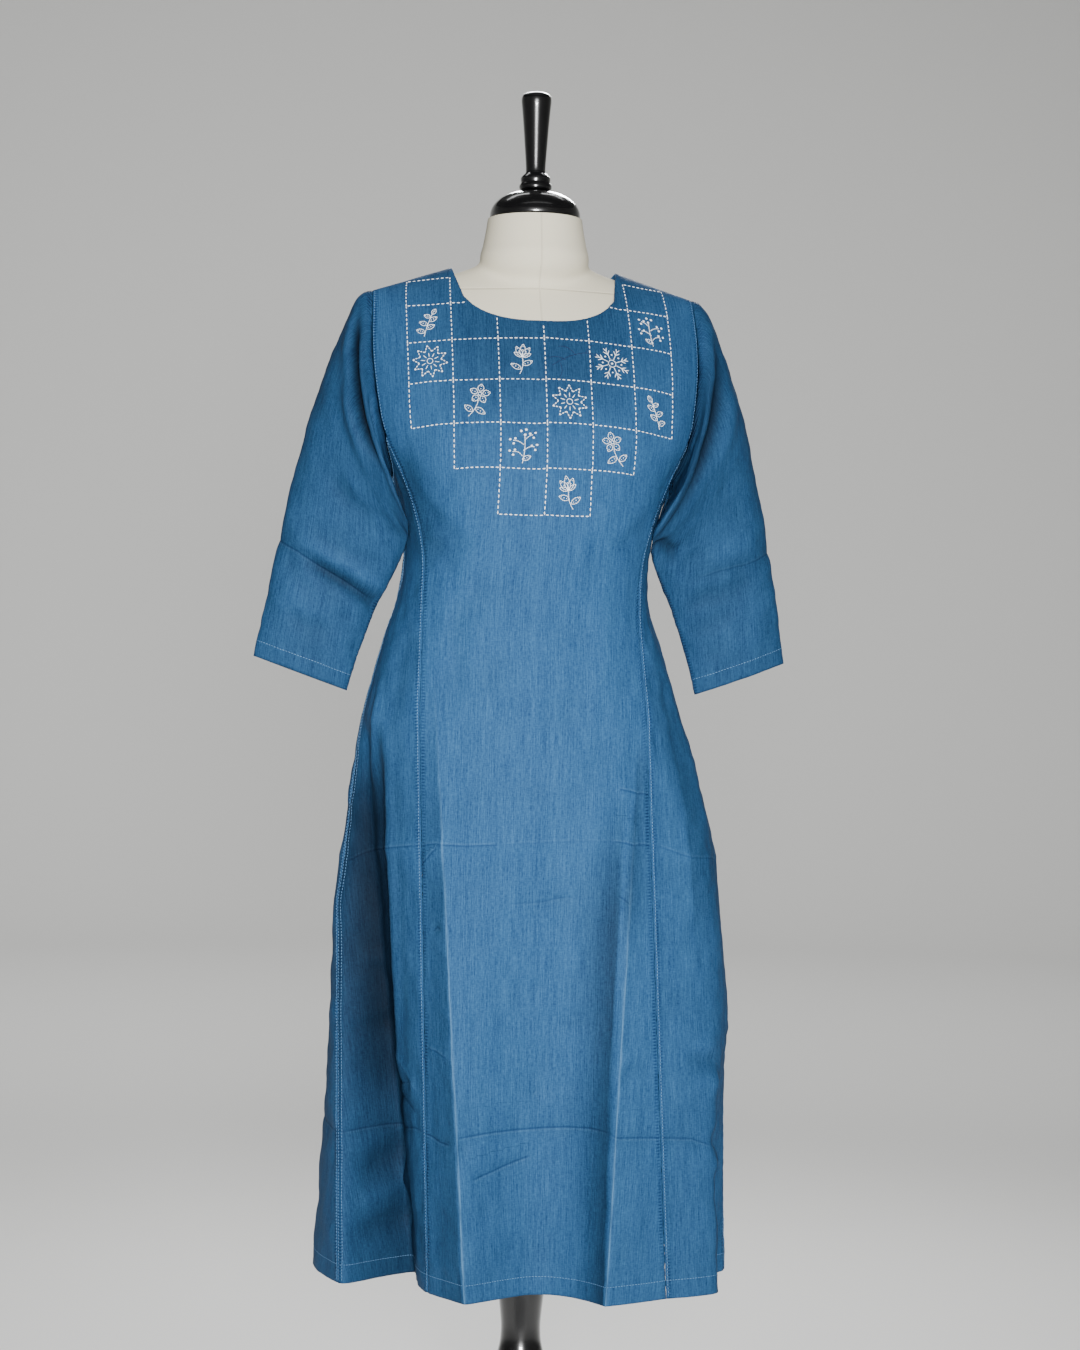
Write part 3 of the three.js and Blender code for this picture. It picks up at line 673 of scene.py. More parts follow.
# %% The sheets of the sleeves
SLEEVE_ROWS = 110
SLEEVE_TURNS = 112


def even_places(count):
    """Places along the sleeve, evenly spaced on the cloth, from the cuff up."""
    fine = np.linspace(0, 10, 400)
    edges = [limp(1, fine, np.full(fine.shape, angle)) for angle in (0, math.pi)]
    lengths = sum(np.linalg.norm(np.diff(edge, axis=0), axis=1) for edge in edges) / 2
    reach = np.concatenate([[0], lengths.cumsum()])
    return np.interp(np.linspace(reach[-1], 0, count), reach, fine)


def sleeve_sheet(name, side):
    """The sheet of one sleeve, whose first rows are drawn over to the seam round the armhole."""
    angles = np.mod(math.pi - side * np.linspace(0, 2 * math.pi, SLEEVE_TURNS + 1), 2 * math.pi)
    place, angle = np.meshgrid(even_places(SLEEVE_ROWS), angles, indexing="ij")
    own = armhole(side, angles) - limp(side, np.zeros(angles.shape), angles)
    points = limp(side, place, angle) + own[None] * sleeve_section("as armhole", place)[..., None]
    across = passed(points, axis=1)
    across -= across[:, SLEEVE_TURNS // 2][:, None]
    along = passed(points)
    sheet = Sheet(name, points, across, along)
    sheet.from_armhole = along[-1] - along
    return sheet


SLEEVES = {"sleeve_left": 1, "sleeve_right": -1}
for name, side in SLEEVES.items():
    sheets[name] = sleeve_sheet(name, side)
    sheet = sheets[name]
    print(name, "cuff", round(np.ptp(sheet.across[0])), "mm round, outer edge",
          round(sheet.along[-1, SLEEVE_TURNS // 2]), "mm, under the arm", round(sheet.along[-1, 0]), "mm")

# %% [markdown]
# ## Creases and puckers
#
# Cloth that was folded for the shop keeps its fold lines. Each crease is a short path drawn on one
# piece. The cloth rises or sinks along it, softly for a wrinkle and in a sharp edge for a pressed line, and
# its exact place is kept as a distance on every point, so that the surface can paint a shadow in the root of
# a pressed line and a highlight on its lit side, and the worn thread of a pressed ridge, finer than the grid.
# The crosswise and lengthwise lines are kept apart, because they meet.

# %% Distance to a path
WAVES = 16


def beside_path(across, along, path):
    """The signed distance of each point to a path, and the share of the path passed at the nearest place."""
    path = np.array(path, float)
    steps = np.diff(path, axis=0)
    lengths = np.linalg.norm(steps, axis=1)
    whole = lengths.sum()
    nearest = np.full(across.shape, np.inf)
    signed, share = nearest.copy(), np.zeros(across.shape)
    for start, step, length, before in zip(path, steps, lengths, passed(path)):
        x, y = across - start[0], along - start[1]
        t = np.clip((x * step[0] + y * step[1]) / length**2, 0, 1)
        distance = np.hypot(x - t * step[0], y - t * step[1])
        closer = distance < nearest
        nearest = np.where(closer, distance, nearest)
        signed = np.where(closer, np.where(step[0] * y - step[1] * x < 0, -distance, distance), signed)
        share = np.where(closer, (before + t * length) / whole, share)
    return signed, share


def waves(across, along, length, seed):
    """Gentle unevenness of about 1, from sine waves of nearly one length in all directions."""
    chance = np.random.default_rng(seed)
    total = np.zeros(across.shape)
    for _ in range(WAVES):
        turn, own, phase = chance.uniform((0, 0.6, 0), (math.pi, 1.6, 2 * math.pi))
        forwards = across * math.cos(turn) + along * math.sin(turn)
        total += np.sin(2 * math.pi * forwards / (length * own) + phase)
    return total / math.sqrt(WAVES / 2)

# %% The creases of each piece
# Each crease has its family, its kind, the height of its rise in mm (a sink is negative), its width, the
# strength of its painted line (a painted shadow in its root and a painted highlight on its lit side), and
# its path. A body path is in panel coordinates and heights, and a sleeve's in flat millimetres: across from
# the outer edge and up from the cuff. Each ridge has its fold line, its rise, the height where it starts and
# the strength of its worn line.
ARMPIT_FOLD = [(14, 412), (53, 372), (75, 341), (98, 311), (117, 290), (136, 275)]
ELBOW_FOLD = [(-22, 392), (-44, 352), (-84, 312), (-130, 266), (-177, 223)]
CREASES = {
    "front_centre_panel": [
        ("cross", "press", 1.0, 9, 0.9, [(-1, 765), (-0.85, 768), (-0.59, 766.5), (-0.3, 768)]),
        ("cross", "press", 0.6, 9, 0.3, [(-0.3, 768), (0.22, 771.5), (0.75, 771.5)]),
        ("cross", "press", 1.0, 9, 0.9, [(0.7, 772), (0.85, 770), (0.97, 768), (1, 766)]),
        ("cross", "press", 1.1, 7, 0.9, [(-1, 744), (-0.93, 752), (-0.843, 764)]),
        ("cross", "press", -1.2, 8, 1.0,
         [(-0.69, 457.5), (-0.41, 461.5), (0.25, 465), (0.54, 466), (0.71, 463)]),
        ("cross", "press", -1.1, 8, 0.9, [(0.71, 462), (0.77, 458.5), (1, 455)]),
        ("cross", "press", -1.1, 7, 1.0, [(-1, 457), (-0.84, 450), (-0.747, 449)]),
        ("cross", "soft", -2.2, 9, 0, [(-0.69, 451), (-0.62, 447), (-0.54, 446)]),
        ("cross", "press", -1.3, 6, 1.0, [(-0.53, 413), (-0.27, 423), (0.036, 435)]),
        ("cross", "press", -0.6, 6, 0.4, [(0.02, 499), (0.09, 507)]),
        ("cross", "press", 1.2, 7, 0.9, [(-0.965, 550), (-0.86, 547), (-0.75, 541)]),
        ("cross", "press", -1.2, 6, 0.8, [(-0.9, 672), (-0.874, 679), (-0.82, 677)]),
        ("cross", "press", 1.2, 7, 0.9, [(0.75, 828), (0.92, 824), (1, 821)]),
        ("cross", "press", -1.1, 6, 0.7, [(0.78, 715), (0.9, 704)]),
        ("cross", "press", -0.7, 7, 0.4, [(-0.2, 705), (0.1, 707), (0.25, 711), (0.39, 713)]),
        ("cross", "soft", 1.6, 9, 0, [(0.78, 540), (0.87, 546), (1, 554)]),
        ("cross", "soft", -1.4, 9, 0, [(0.74, 520), (0.87, 527), (1, 534)]),
        ("cross", "soft", 1.0, 9, 0, [(-0.6, 640), (-0.35, 652), (-0.1, 655)]),
        ("cross", "soft", -1.0, 11, 0, [(0.1, 585), (0.35, 578), (0.6, 590)]),
        ("cross", "soft", -2.0, 10, 0, [(-0.97, 1140), (-0.8, 1105), (-0.62, 1070)]),
        ("cross", "soft", -1.3, 9, 0, [(-0.95, 1105), (-0.82, 1078), (-0.7, 1040)]),
        ("cross", "soft", -1.6, 11, 0, [(0.97, 1128), (0.82, 1102), (0.7, 1072)]),
        ("length", "soft", -1.4, 12, 0, [(-0.66, 1050), (-0.7, 960), (-0.78, 880)]),
        ("length", "soft", 1.2, 12, 0, [(0.62, 1050), (0.6, 970), (0.52, 880)]),
    ],
    "front_side_panel_right": [
        ("cross", "press", 1.1, 9, 0.9, [(-2, 742), (-1.92, 744.5), (-1.75, 756), (-1.08, 764.5), (-1, 765)]),
        ("cross", "press", -1.1, 8, 0.8, [(-2, 447), (-1.7, 451.5), (-1.38, 453), (-1.15, 459), (-1, 457)]),
        ("cross", "soft", -3.6, 15, 0, [(-1.86, 398), (-1.62, 420), (-1.36, 444)]),
        ("cross", "soft", 2.6, 13, 0, [(-1.9, 362), (-1.6, 385), (-1.28, 412)]),
        ("cross", "soft", -3.4, 14, 0, [(-1.96, 330), (-1.6, 346), (-1.2, 368)]),
        ("cross", "press", -1.6, 6, 0.6, [(-1.52, 511), (-1.36, 503), (-1.15, 509)]),
        ("cross", "press", 1.3, 6, 0.5, [(-1.39, 539), (-1.25, 520), (-1.1, 499)]),
        ("cross", "press", -1.4, 6, 0.5, [(-1.5, 488), (-1.32, 487), (-1.12, 476)]),
        ("cross", "soft", 1.6, 10, 0, [(-1.9, 640), (-1.7, 634), (-1.55, 610)]),
        ("cross", "soft", -1.8, 10, 0, [(-1.85, 560), (-1.65, 566), (-1.45, 548)]),
        ("length", "soft", 2.6, 8, 0, [(-1.62, 955), (-1.57, 900), (-1.66, 850), (-1.74, 815)]),
        ("length", "soft", -2.2, 8, 0, [(-1.78, 900), (-1.83, 850), (-1.87, 805)]),
        ("length", "soft", -1.6, 12, 0, [(-1.3, 1010), (-1.28, 930), (-1.35, 850)]),
        ("length", "soft", -8.0, 11, 0, [(-1.58, 915), (-1.52, 760), (-1.5, 664), (-1.5, 556), (-1.5, 440)]),
        ("length", "soft", 4.0, 9, 0, [(-1.42, 915), (-1.36, 760), (-1.33, 664), (-1.33, 556), (-1.35, 440)]),
    ],
    "front_side_panel_left": [
        ("cross", "press", 0.9, 9, 0.5, [(1, 766), (1.05, 765.5), (1.3, 753), (1.66, 749), (2, 752)]),
        ("cross", "press", -1.1, 8, 0.8, [(1, 455), (1.2, 452), (1.36, 443)]),
        ("cross", "soft", -4.0, 10, 0, [(1.34, 441), (1.48, 448), (1.66, 458)]),
        ("cross", "soft", 2.4, 10, 0, [(1.36, 418), (1.52, 424), (1.7, 430)]),
        ("cross", "soft", 1.7, 9, 0, [(1.22, 548), (1.36, 552), (1.5, 556)]),
        ("cross", "soft", -2.0, 9, 0, [(1.18, 534), (1.4, 532), (1.66, 526)]),
        ("cross", "soft", 1.4, 9, 0, [(1.24, 514), (1.42, 508), (1.6, 506)]),
        ("length", "soft", -1.6, 12, 0, [(1.4, 980), (1.36, 900), (1.3, 800)]),
        ("length", "soft", 1.4, 12, 0, [(1.66, 930), (1.62, 840), (1.6, 740)]),
        ("length", "soft", -4.0, 6, 0, [(1.53, 530), (1.55, 484), (1.51, 436), (1.48, 402), (1.46, 340)]),
        ("cross", "soft", -2.4, 6, 0, [(1.4, 452), (1.55, 440), (1.75, 446)]),
    ],
    "back_side_panel_right": [
        ("cross", "press", 1.0, 9, 0.7, [(-3, 764), (-2.7, 760), (-2.3, 752), (-2, 742)]),
        ("cross", "press", -1.1, 8, 0.8, [(-3, 456), (-2.6, 462), (-2.3, 452), (-2, 447)]),
        ("cross", "soft", -2.8, 14, 0, [(-2.9, 392), (-2.7, 410), (-2.45, 420)]),
        ("cross", "soft", 2.0, 12, 0, [(-2.6, 600), (-2.4, 615), (-2.15, 618)]),
        ("length", "soft", 1.8, 12, 0, [(-2.5, 980), (-2.45, 890), (-2.52, 800)]),
    ],
    "back_side_panel_left": [
        ("cross", "press", 1.0, 9, 0.7, [(2, 752), (2.4, 757), (2.8, 762), (3, 764)]),
        ("cross", "press", -1.1, 8, 0.8, [(2, 450), (2.4, 459), (2.75, 456), (3, 458)]),
        ("cross", "soft", -2.6, 13, 0, [(2.2, 382), (2.45, 396), (2.75, 404)]),
        ("cross", "soft", 1.8, 12, 0, [(2.3, 640), (2.55, 628), (2.8, 632)]),
        ("length", "soft", -1.6, 12, 0, [(2.55, 960), (2.6, 880), (2.5, 790)]),
    ],
    "back_centre_panel": [
        ("cross", "press", 1.0, 9, 0.8, [(3, 764), (3.35, 767), (3.7, 766)]),
        ("cross", "press", 0.7, 9, 0.4, [(3.7, 766), (4.2, 770), (4.6, 768), (5, 764)]),
        ("cross", "press", -1.1, 8, 0.9, [(3, 458), (3.4, 462), (4, 466), (4.5, 463), (5, 456)]),
        ("cross", "press", -1.1, 6, 0.8, [(3.85, 420), (4.1, 428), (4.4, 441)]),
        ("cross", "press", 1.0, 7, 0.8, [(3.1, 551), (3.3, 545), (3.42, 540)]),
        ("cross", "soft", 1.4, 10, 0, [(4.45, 610), (4.7, 620), (4.9, 618)]),
        ("cross", "soft", -1.4, 10, 0, [(3.7, 690), (4.05, 700), (4.3, 694)]),
        ("length", "soft", -1.3, 13, 0, [(3.5, 1130), (3.55, 1050), (3.6, 950)]),
        ("length", "soft", -1.3, 13, 0, [(4.5, 1140), (4.46, 1060), (4.42, 960)]),
        ("cross", "soft", 1.8, 14, 0, [(3.2, 1085), (4, 1073), (4.8, 1083)]),
        ("cross", "soft", -1.4, 12, 0, [(3.3, 1052), (4, 1040), (4.7, 1048)]),
    ],
    "sleeve_right": [
        ("length", "soft", -7.0, 6, 0, [*ARMPIT_FOLD, (178, 250)]),
        ("length", "soft", 3.2, 12, 0, [(0, 404), (30, 378), (58, 336), (82, 305), (106, 278), (134, 256)]),
        ("length", "soft", -4.5, 6, 0, [(122, 334), (150, 312), (180, 288), (205, 274)]),
        ("length", "soft", 3.0, 12, 0, [(58, 330), (96, 282), (132, 236)]),
        ("cross", "press", -1.2, 9, 0.9, [(-30, 134), (0, 132), (34, 128), (62, 120), (92, 114), (129, 105)]),
        ("cross", "soft", -4.6, 8, 0, [(30, 126), (62, 118), (92, 112), (129, 103), (168, 96)]),
        ("cross", "soft", 3.4, 8, 0, [(20, 142), (66, 137), (96, 133), (127, 125), (165, 118)]),
        ("cross", "soft", -2.0, 12, 0, [(60, 228), (90, 206), (130, 192)]),
        ("cross", "soft", -1.6, 12, 0, [(20, 62), (60, 56), (100, 60)]),
        ("cross", "soft", 1.4, 12, 0, [(-70, 110), (-110, 104), (-150, 100)]),
        ("length", "soft", 1.2, 16, 0, [(30, 110), (34, 60), (38, 10)]),
    ],
    "sleeve_left": [
        ("length", "soft", -6.5, 13, 0, [*ELBOW_FOLD, (-205, 205)]),
        ("length", "soft", 1.6, 12, 0, [(-66, 392), (-100, 345), (-132, 310), (-165, 276)]),
        ("length", "soft", 2.4, 16, 0, [(-20, 330), (-60, 285), (-110, 235)]),
        ("cross", "soft", -4.6, 7, 0, [(-202, 207), (-164, 196), (-143, 176), (-136, 150)]),
        ("cross", "soft", 2.4, 9, 0, [(-190, 182), (-168, 168), (-158, 150)]),
        ("cross", "press", -1.2, 9, 0.6, [(30, 132), (0, 129), (-46, 127), (-80, 131), (-108, 132)]),
        ("cross", "soft", 1.8, 13, 0, [(-20, 150), (-60, 148), (-104, 152)]),
        ("cross", "soft", -1.8, 12, 0, [(-30, 110), (-90, 106), (-130, 112)]),
        ("cross", "soft", -1.6, 13, 0, [(-50, 80), (-90, 76), (-130, 72)]),
        ("cross", "soft", 1.4, 12, 0, [(70, 110), (110, 104), (150, 100)]),
        ("length", "soft", 1.0, 16, 0, [(-40, 110), (-38, 60), (-42, 10)]),
    ],
}
RIDGES = {
    "front_centre_panel": [("front ridge, right", 0.4, 985, 1.0), ("front ridge, left", 0.4, 860, 1.0)],
    "back_centre_panel": [("back ridge, right", 0.3, 850, 0.7), ("back ridge, left", 0.3, 850, 0.7)],
    "front_side_panel_left": [("side ridge, left", 0.2, 560, 0.5)],
    "back_side_panel_left": [("back corner, left", 0.0, 560, 0.35)],
    "back_side_panel_right": [("back corner, right", 0.0, 560, 0.35)],
}
# Behind the edge of a deep fold little light gets in, so a shade is painted there. Each row has the
# strength of that shade, how far it reaches from the edge, its side of the edge (-1 is left of a path that
# runs down, 0 both), and the edge.
FOLD_SHADES = {
    "front_side_panel_right": [
        (0.3, 40, 0, [(-1.15, 1175), (-1.2, 1120), (-1.2, 1060)]),
        (0.86, 62, 0, [(-1.86, 925), (-1.77, 761), (-1.71, 664), (-1.65, 556), (-1.58, 440)]),
        (0.6, 56, 0, [(-1.67, 600), (-1.62, 500), (-1.58, 440), (-1.53, 350), (-1.49, 285)]),
        (0.45, 20, -1, [(-1.45, 925), (-1.41, 761), (-1.39, 640), (-1.41, 440), (-1.3, 400), (-1.2, 320)]),
        (0.24, 45, 0, [(-1.92, 800), (-1.88, 640), (-1.85, 500), (-1.82, 400), (-1.82, 285)]),
    ],
    "front_centre_panel": [
        (0.42, 26, 0, [(-1, 1200), (-0.98, 1140), (-0.96, 1090), (-0.95, 1045)]),
        (0.3, 50, -1, [(-0.87, 985), (-0.83, 850), (-0.77, 700), (-0.71, 550), (-0.65, 420), (-0.6, 285)]),
        (0.6, 32, -1, [(0.87, 850), (0.83, 760), (0.79, 640), (0.73, 500), (0.66, 390), (0.6, 285)]),
        (0.42, 26, 1, [(0.95, 900), (0.88, 780), (0.83, 680), (0.8, 640)]),
    ],
    "sleeve_right": [
        (0.9, 4.5, 0, [*ARMPIT_FOLD, (165, 257)]),
        (0.38, 24, 0, [(24, 404), *ARMPIT_FOLD[1:], (178, 250)]),
        (0.4, 20, 0, [(178, 306), (198, 262), (204, 225), (200, 190)]),
    ],
    "sleeve_left": [
        (0.4, 11, 0, ELBOW_FOLD),
        (0.4, 30, 0,
         [(-56, 388), (-78, 363), (-112, 335), (-146, 306), (-172, 272), (-180, 239), (-180, 205)]),
    ],
    "front_side_panel_left": [
        (0.5, 9, -1, [(1.52, 530), (1.54, 484), (1.5, 436), (1.48, 402), (1.47, 330)]),
        (0.34, 60, 1, [(1.3, 960), (1.3, 800), (1.3, 640)]),
    ],
}
# A painted shade on the cloth of each piece, where it is not 1. A soft lamp reaches the sleeves and the sides
# of the skirt almost as it does the chest, so this paints in the shade that a real room casts on them.
PAINTED_PIECE_SHADE = {
    "sleeve_left": 0.69,
    "sleeve_right": 0.73,
    "front_side_panel_left": 0.92,
    "front_side_panel_right": 0.95,
    "back_side_panel_right": 0.9,
}
print("creases:", sum(len(rows) for rows in CREASES.values()))

# %% The rise along creases and ridges
LINE_REACH = 30
RIDGE_WIDTH = 5
RIDGE_STEPS = 14
HEIGHTENED = {"press": 2.0, "soft": 1.5}


def line_ends(share, ends):
    """1 along a path, and 0 at its two ends."""
    return smoothstep(share, 0, ends) * smoothstep(1 - share, 0, ends)


def add_line(sheet, family, signed, strength):
    """Keep the nearest line of a family on each point: its signed distance and its strength."""
    kept, own = sheet.lines[family]
    closer = (np.abs(signed) < np.abs(kept)) & (strength > 0.02)
    sheet.lines[family] = [np.where(closer, signed, kept), np.where(closer, strength, own)]


def crease(sheet, family, kind, rise, width, worn, path):
    """The rise of the cloth along one crease. Its line of painted shade and highlight is kept on the sheet.
    """
    path = [sheet.flat(place) for place in path]
    signed, share = beside_path(sheet.across, sheet.along, path)
    if kind == "press":
        shape = np.exp(-np.abs(signed) / width) * (0.35 + 0.65 * line_ends(share, 0.2))
    else:
        shape = np.exp(-((signed / width) ** 2)) * line_ends(share, 0.35)
    # The painted highlight goes on the side that faces the lamp, and the painted shadow in the root beside
    # it.
    if worn > 0:
        off_the_ends = np.where((share <= 0) | (share >= 1), 0, 1)
        lit_side = signed if rise > 0 else -signed
        add_line(sheet, family, lit_side, worn * off_the_ends * (0.3 + 0.7 * line_ends(share, 0.12)))
    return rise * HEIGHTENED[kind] * shape


def ridge(sheet, name, rise, start, worn):
    """The rise of the cloth along a pressed fold of the skirt, with its line of worn thread."""
    path = []
    for height in np.linspace(start, HEM_HEIGHT, RIDGE_STEPS):
        c = float(fold_line(name, height))
        path.append(sheet.flat((c % ROUND_THE_BODY if sheet.c.max() > 3.5 else c, height)))
    signed, share = beside_path(sheet.across, sheet.along, path)
    add_line(sheet, "length", signed, worn * smoothstep(share, 0, 0.5) * np.where(share <= 0, 0, 1))
    return rise * np.exp(-np.abs(signed) / RIDGE_WIDTH) * smoothstep(share, 0, 0.3)


pressed = sum(kind == "press" for rows in CREASES.values() for _, kind, *_ in rows)
print("of these creases, pressed:", pressed, "and on ridges:", sum(len(rows) for rows in RIDGES.values()))

# %% Painted shade in the troughs and behind the folds
# All of this is shade and highlight painted into the cloth's colour. How much darker it makes the cloth: a
# cavity per millimetre of depth, the rest as a share. Reaches are millimetres, and so is a pair of heights
# between which a shade starts or fades.
CAVITY = 0.045
SLEEVE_CAVITY = 1.5
DARKEST, LIGHTEST = 0.25, 1.15
# Painted shade: the middle of the yoke grows darker towards the shoulders, and a sleeve beside its armhole.
YOKE_SHADE = 0.42
YOKE_SHADE_FADES = (1170, 1300)
ARMHOLE_SHADE = 0.65
ARMHOLE_SHADE_REACH = 9
ARMHOLE_SHADE_STARTS = (1140, 1180)
ARMHOLE_SHADE_FADES = (1215, 1270)
NEAR_THE_HEM = 350


def fold_shade(sheet, depth, reach, side, path):
    """The share of the light that reaches each point behind the edge of a fold."""
    signed, share = beside_path(sheet.across, sheet.along, [sheet.flat(place) for place in path])
    behind = (smoothstep(signed * side, 0, 3) if side else 1) * np.exp(-((signed / reach) ** 2))
    to_the_hem = hasattr(sheet, "c") and path[-1][1] < NEAR_THE_HEM
    ends = smoothstep(share, 0, 0.3) * (1 if to_the_hem else smoothstep(1 - share, 0, 0.3))
    return 1 - depth * behind * ends


def shade_of(name, sheet, relief):
    """Painted shade and highlight: darker in a trough and behind a fold, lighter on a rise."""
    cavity = CAVITY * (SLEEVE_CAVITY if name in SLEEVES else 1)
    shade = PAINTED_PIECE_SHADE.get(name, 1.0) * np.clip(1 + cavity * relief, DARKEST, LIGHTEST)
    for row in FOLD_SHADES.get(name, []):
        shade = shade * fold_shade(sheet, *row)
    if name in SLEEVES:
        height = sheet.points[..., 2]
        level = smoothstep(height, *ARMHOLE_SHADE_STARTS) * (1 - smoothstep(height, *ARMHOLE_SHADE_FADES))
        near = np.exp(-((sheet.from_armhole / ARMHOLE_SHADE_REACH) ** 2))
        return shade * (1 - ARMHOLE_SHADE * level * near)
    middle = 1 - smoothstep(np.abs(sheet.c), 0.2, 1)
    return shade * (1 - YOKE_SHADE * middle * smoothstep(sheet.height, *YOKE_SHADE_FADES))


print("edges with a shade behind them:", sum(len(rows) for rows in FOLD_SHADES.values()))

# %% Keep the sleeves off the body
# Where a sleeve can touch the body, how far it is kept off, and how far from its seam that begins.
TOUCH_HALF_WIDTH = 175
TOUCH_HEIGHTS = (1030, 1230)
TOUCH_PANELS = (0.85, 2.6, 70)
BODY_ROOM = 1.6
FARTHEST_PUSH = 6
PUSH_STARTS = (2, 14)


def kept_off_body(sheet, side):
    """Where the sleeve comes too near the body, it moves straight out of it on its own level."""
    x, height = np.abs(sheet.points[..., 0]), sheet.points[..., 2]
    near = (x < TOUCH_HALF_WIDTH) & (height > TOUCH_HEIGHTS[0]) & (height < TOUCH_HEIGHTS[1])
    point = sheet.points[near]
    wall = body(side * np.linspace(*TOUCH_PANELS), point[:, 2:])
    run = np.gradient(wall, axis=1)
    away = np.stack([run[..., 1], -run[..., 0]], axis=-1) * side
    away = away / np.linalg.norm(away, axis=-1, keepdims=True)
    apart = point[:, None, :2] - wall[..., :2]
    nearest = np.hypot(apart[..., 0], apart[..., 1]).argmin(axis=1)
    pick = (np.arange(len(point)), nearest)
    clearance = (apart[pick] * away[pick]).sum(axis=-1)
    push = np.clip(BODY_ROOM - clearance, 0, FARTHEST_PUSH)
    push = push * smoothstep(sheet.from_armhole[near], *PUSH_STARTS)
    point[:, :2] += away[pick] * push[:, None]
    sheet.points[near] = point
    return float(push.max())


print("side of the body under the arm, mm:", body(np.array([2.0]), np.array([1130.0])).round(1))

# %% Raise the cloth
# Rises, widths and reaches are millimetres, and so is a pair of heights between which something fades.
UNEVENNESS = ((0.5, 75), (0.22, 22))
SEAM_GROOVE = 0.9
ARMHOLE_GROOVE = 0.3
ARMHOLE_SEAM_REACH = 3
SEAM_WIDTH = 1.3
FLAT_BESIDE_SEAM = 8
ALLOWANCE_RISE = 0.35
ALLOWANCE_WIDTH = 11
PUCKER = {"rise": 0.25, "length": 9, "reach": 6}
HEM_RISE = 0.3
HEM_FOLD = 19.5
FORM_IS_NEAR = (1200, 1330)
FORM_FLATTENS = 0.85


def relief_of(name, sheet, seed):
    """How far each point of a piece rises off its plain form. Its lines and shade are kept on the sheet."""
    empty = np.full(sheet.across.shape, float(LINE_REACH))
    sheet.lines = {family: [empty, np.zeros(empty.shape)] for family in ("cross", "length")}
    total = sum(rise * waves(sheet.across, sheet.along, length, seed + k)
                for k, (rise, length) in enumerate(UNEVENNESS))
    for row in CREASES[name]:
        total = total + crease(sheet, *row)
    for row in RIDGES.get(name, []):
        total = total + ridge(sheet, *row)
    sheet.shade = shade_of(name, sheet, total)
    sheet.to_seam = np.minimum(sheet.across - sheet.across[:, :1], sheet.across[:, -1:] - sheet.across)
    if name in SLEEVES:
        sheet.to_seam = np.minimum(sheet.to_seam, sheet.from_armhole)
    allowance = ALLOWANCE_RISE * (1 - smoothstep(sheet.to_seam, ALLOWANCE_WIDTH - 3, ALLOWANCE_WIDTH))
    pucker = PUCKER["rise"] * waves(sheet.along, np.zeros(empty.shape), PUCKER["length"], seed + 2)
    pucker = pucker * np.exp(-sheet.to_seam / PUCKER["reach"])
    hem = HEM_RISE * (1 - smoothstep(sheet.along, HEM_FOLD - 2, HEM_FOLD + 1))
    if name in SLEEVES:
        free, at_armhole = 1, sheet.from_armhole < ARMHOLE_SEAM_REACH
    else:
        free = 1 - FORM_FLATTENS * smoothstep(sheet.points[..., 2], *FORM_IS_NEAR)
        at_armhole = sheet.height > SEAM_MEETS_ARMHOLE
    meets = np.minimum(1, sheet.to_seam / FLAT_BESIDE_SEAM)
    total = total * free * meets + (allowance + pucker) * free + hem
    groove = np.where(at_armhole, ARMHOLE_GROOVE, SEAM_GROOVE)
    return total - groove * np.exp(-((sheet.to_seam / SEAM_WIDTH) ** 2))


for seed, (name, sheet) in enumerate(sheets.items()):
    relief = relief_of(name, sheet, 10 * seed)
    sheet.lift(relief)
    if name in SLEEVES:
        print(name, "pushed off the body by up to", round(kept_off_body(sheet, SLEEVES[name]), 1), "mm")
    sheet.facing = sheet.normals()
    print(name, "relief from", relief.min().round(1), "to", relief.max().round(1), "mm")

# %% [markdown]
# ## From sheet to mesh
#
# Each sheet becomes a bmesh grid whose points are moved to their places. A sleeve's two long edges are then
# merged. The UV map holds the flat place in metres, so a weave laid out on it keeps its size everywhere.
# Attributes hold the distance to the nearest seam and to the nearest crease of each family, the strength of
# that crease's wear and painted light, and the painted shade and highlight of the cloth.

# %% Make a cloth piece
CLOTH = 1.2
WELD = 0.01


def smooth(mesh):
    mesh.polygons.foreach_set("use_smooth", np.ones(len(mesh.polygons), bool))


def weld(mesh):
    bm = bmesh.new()
    bm.from_mesh(mesh)
    bmesh.ops.remove_doubles(bm, verts=bm.verts, dist=WELD * MM)
    bm.to_mesh(mesh)
    bm.free()


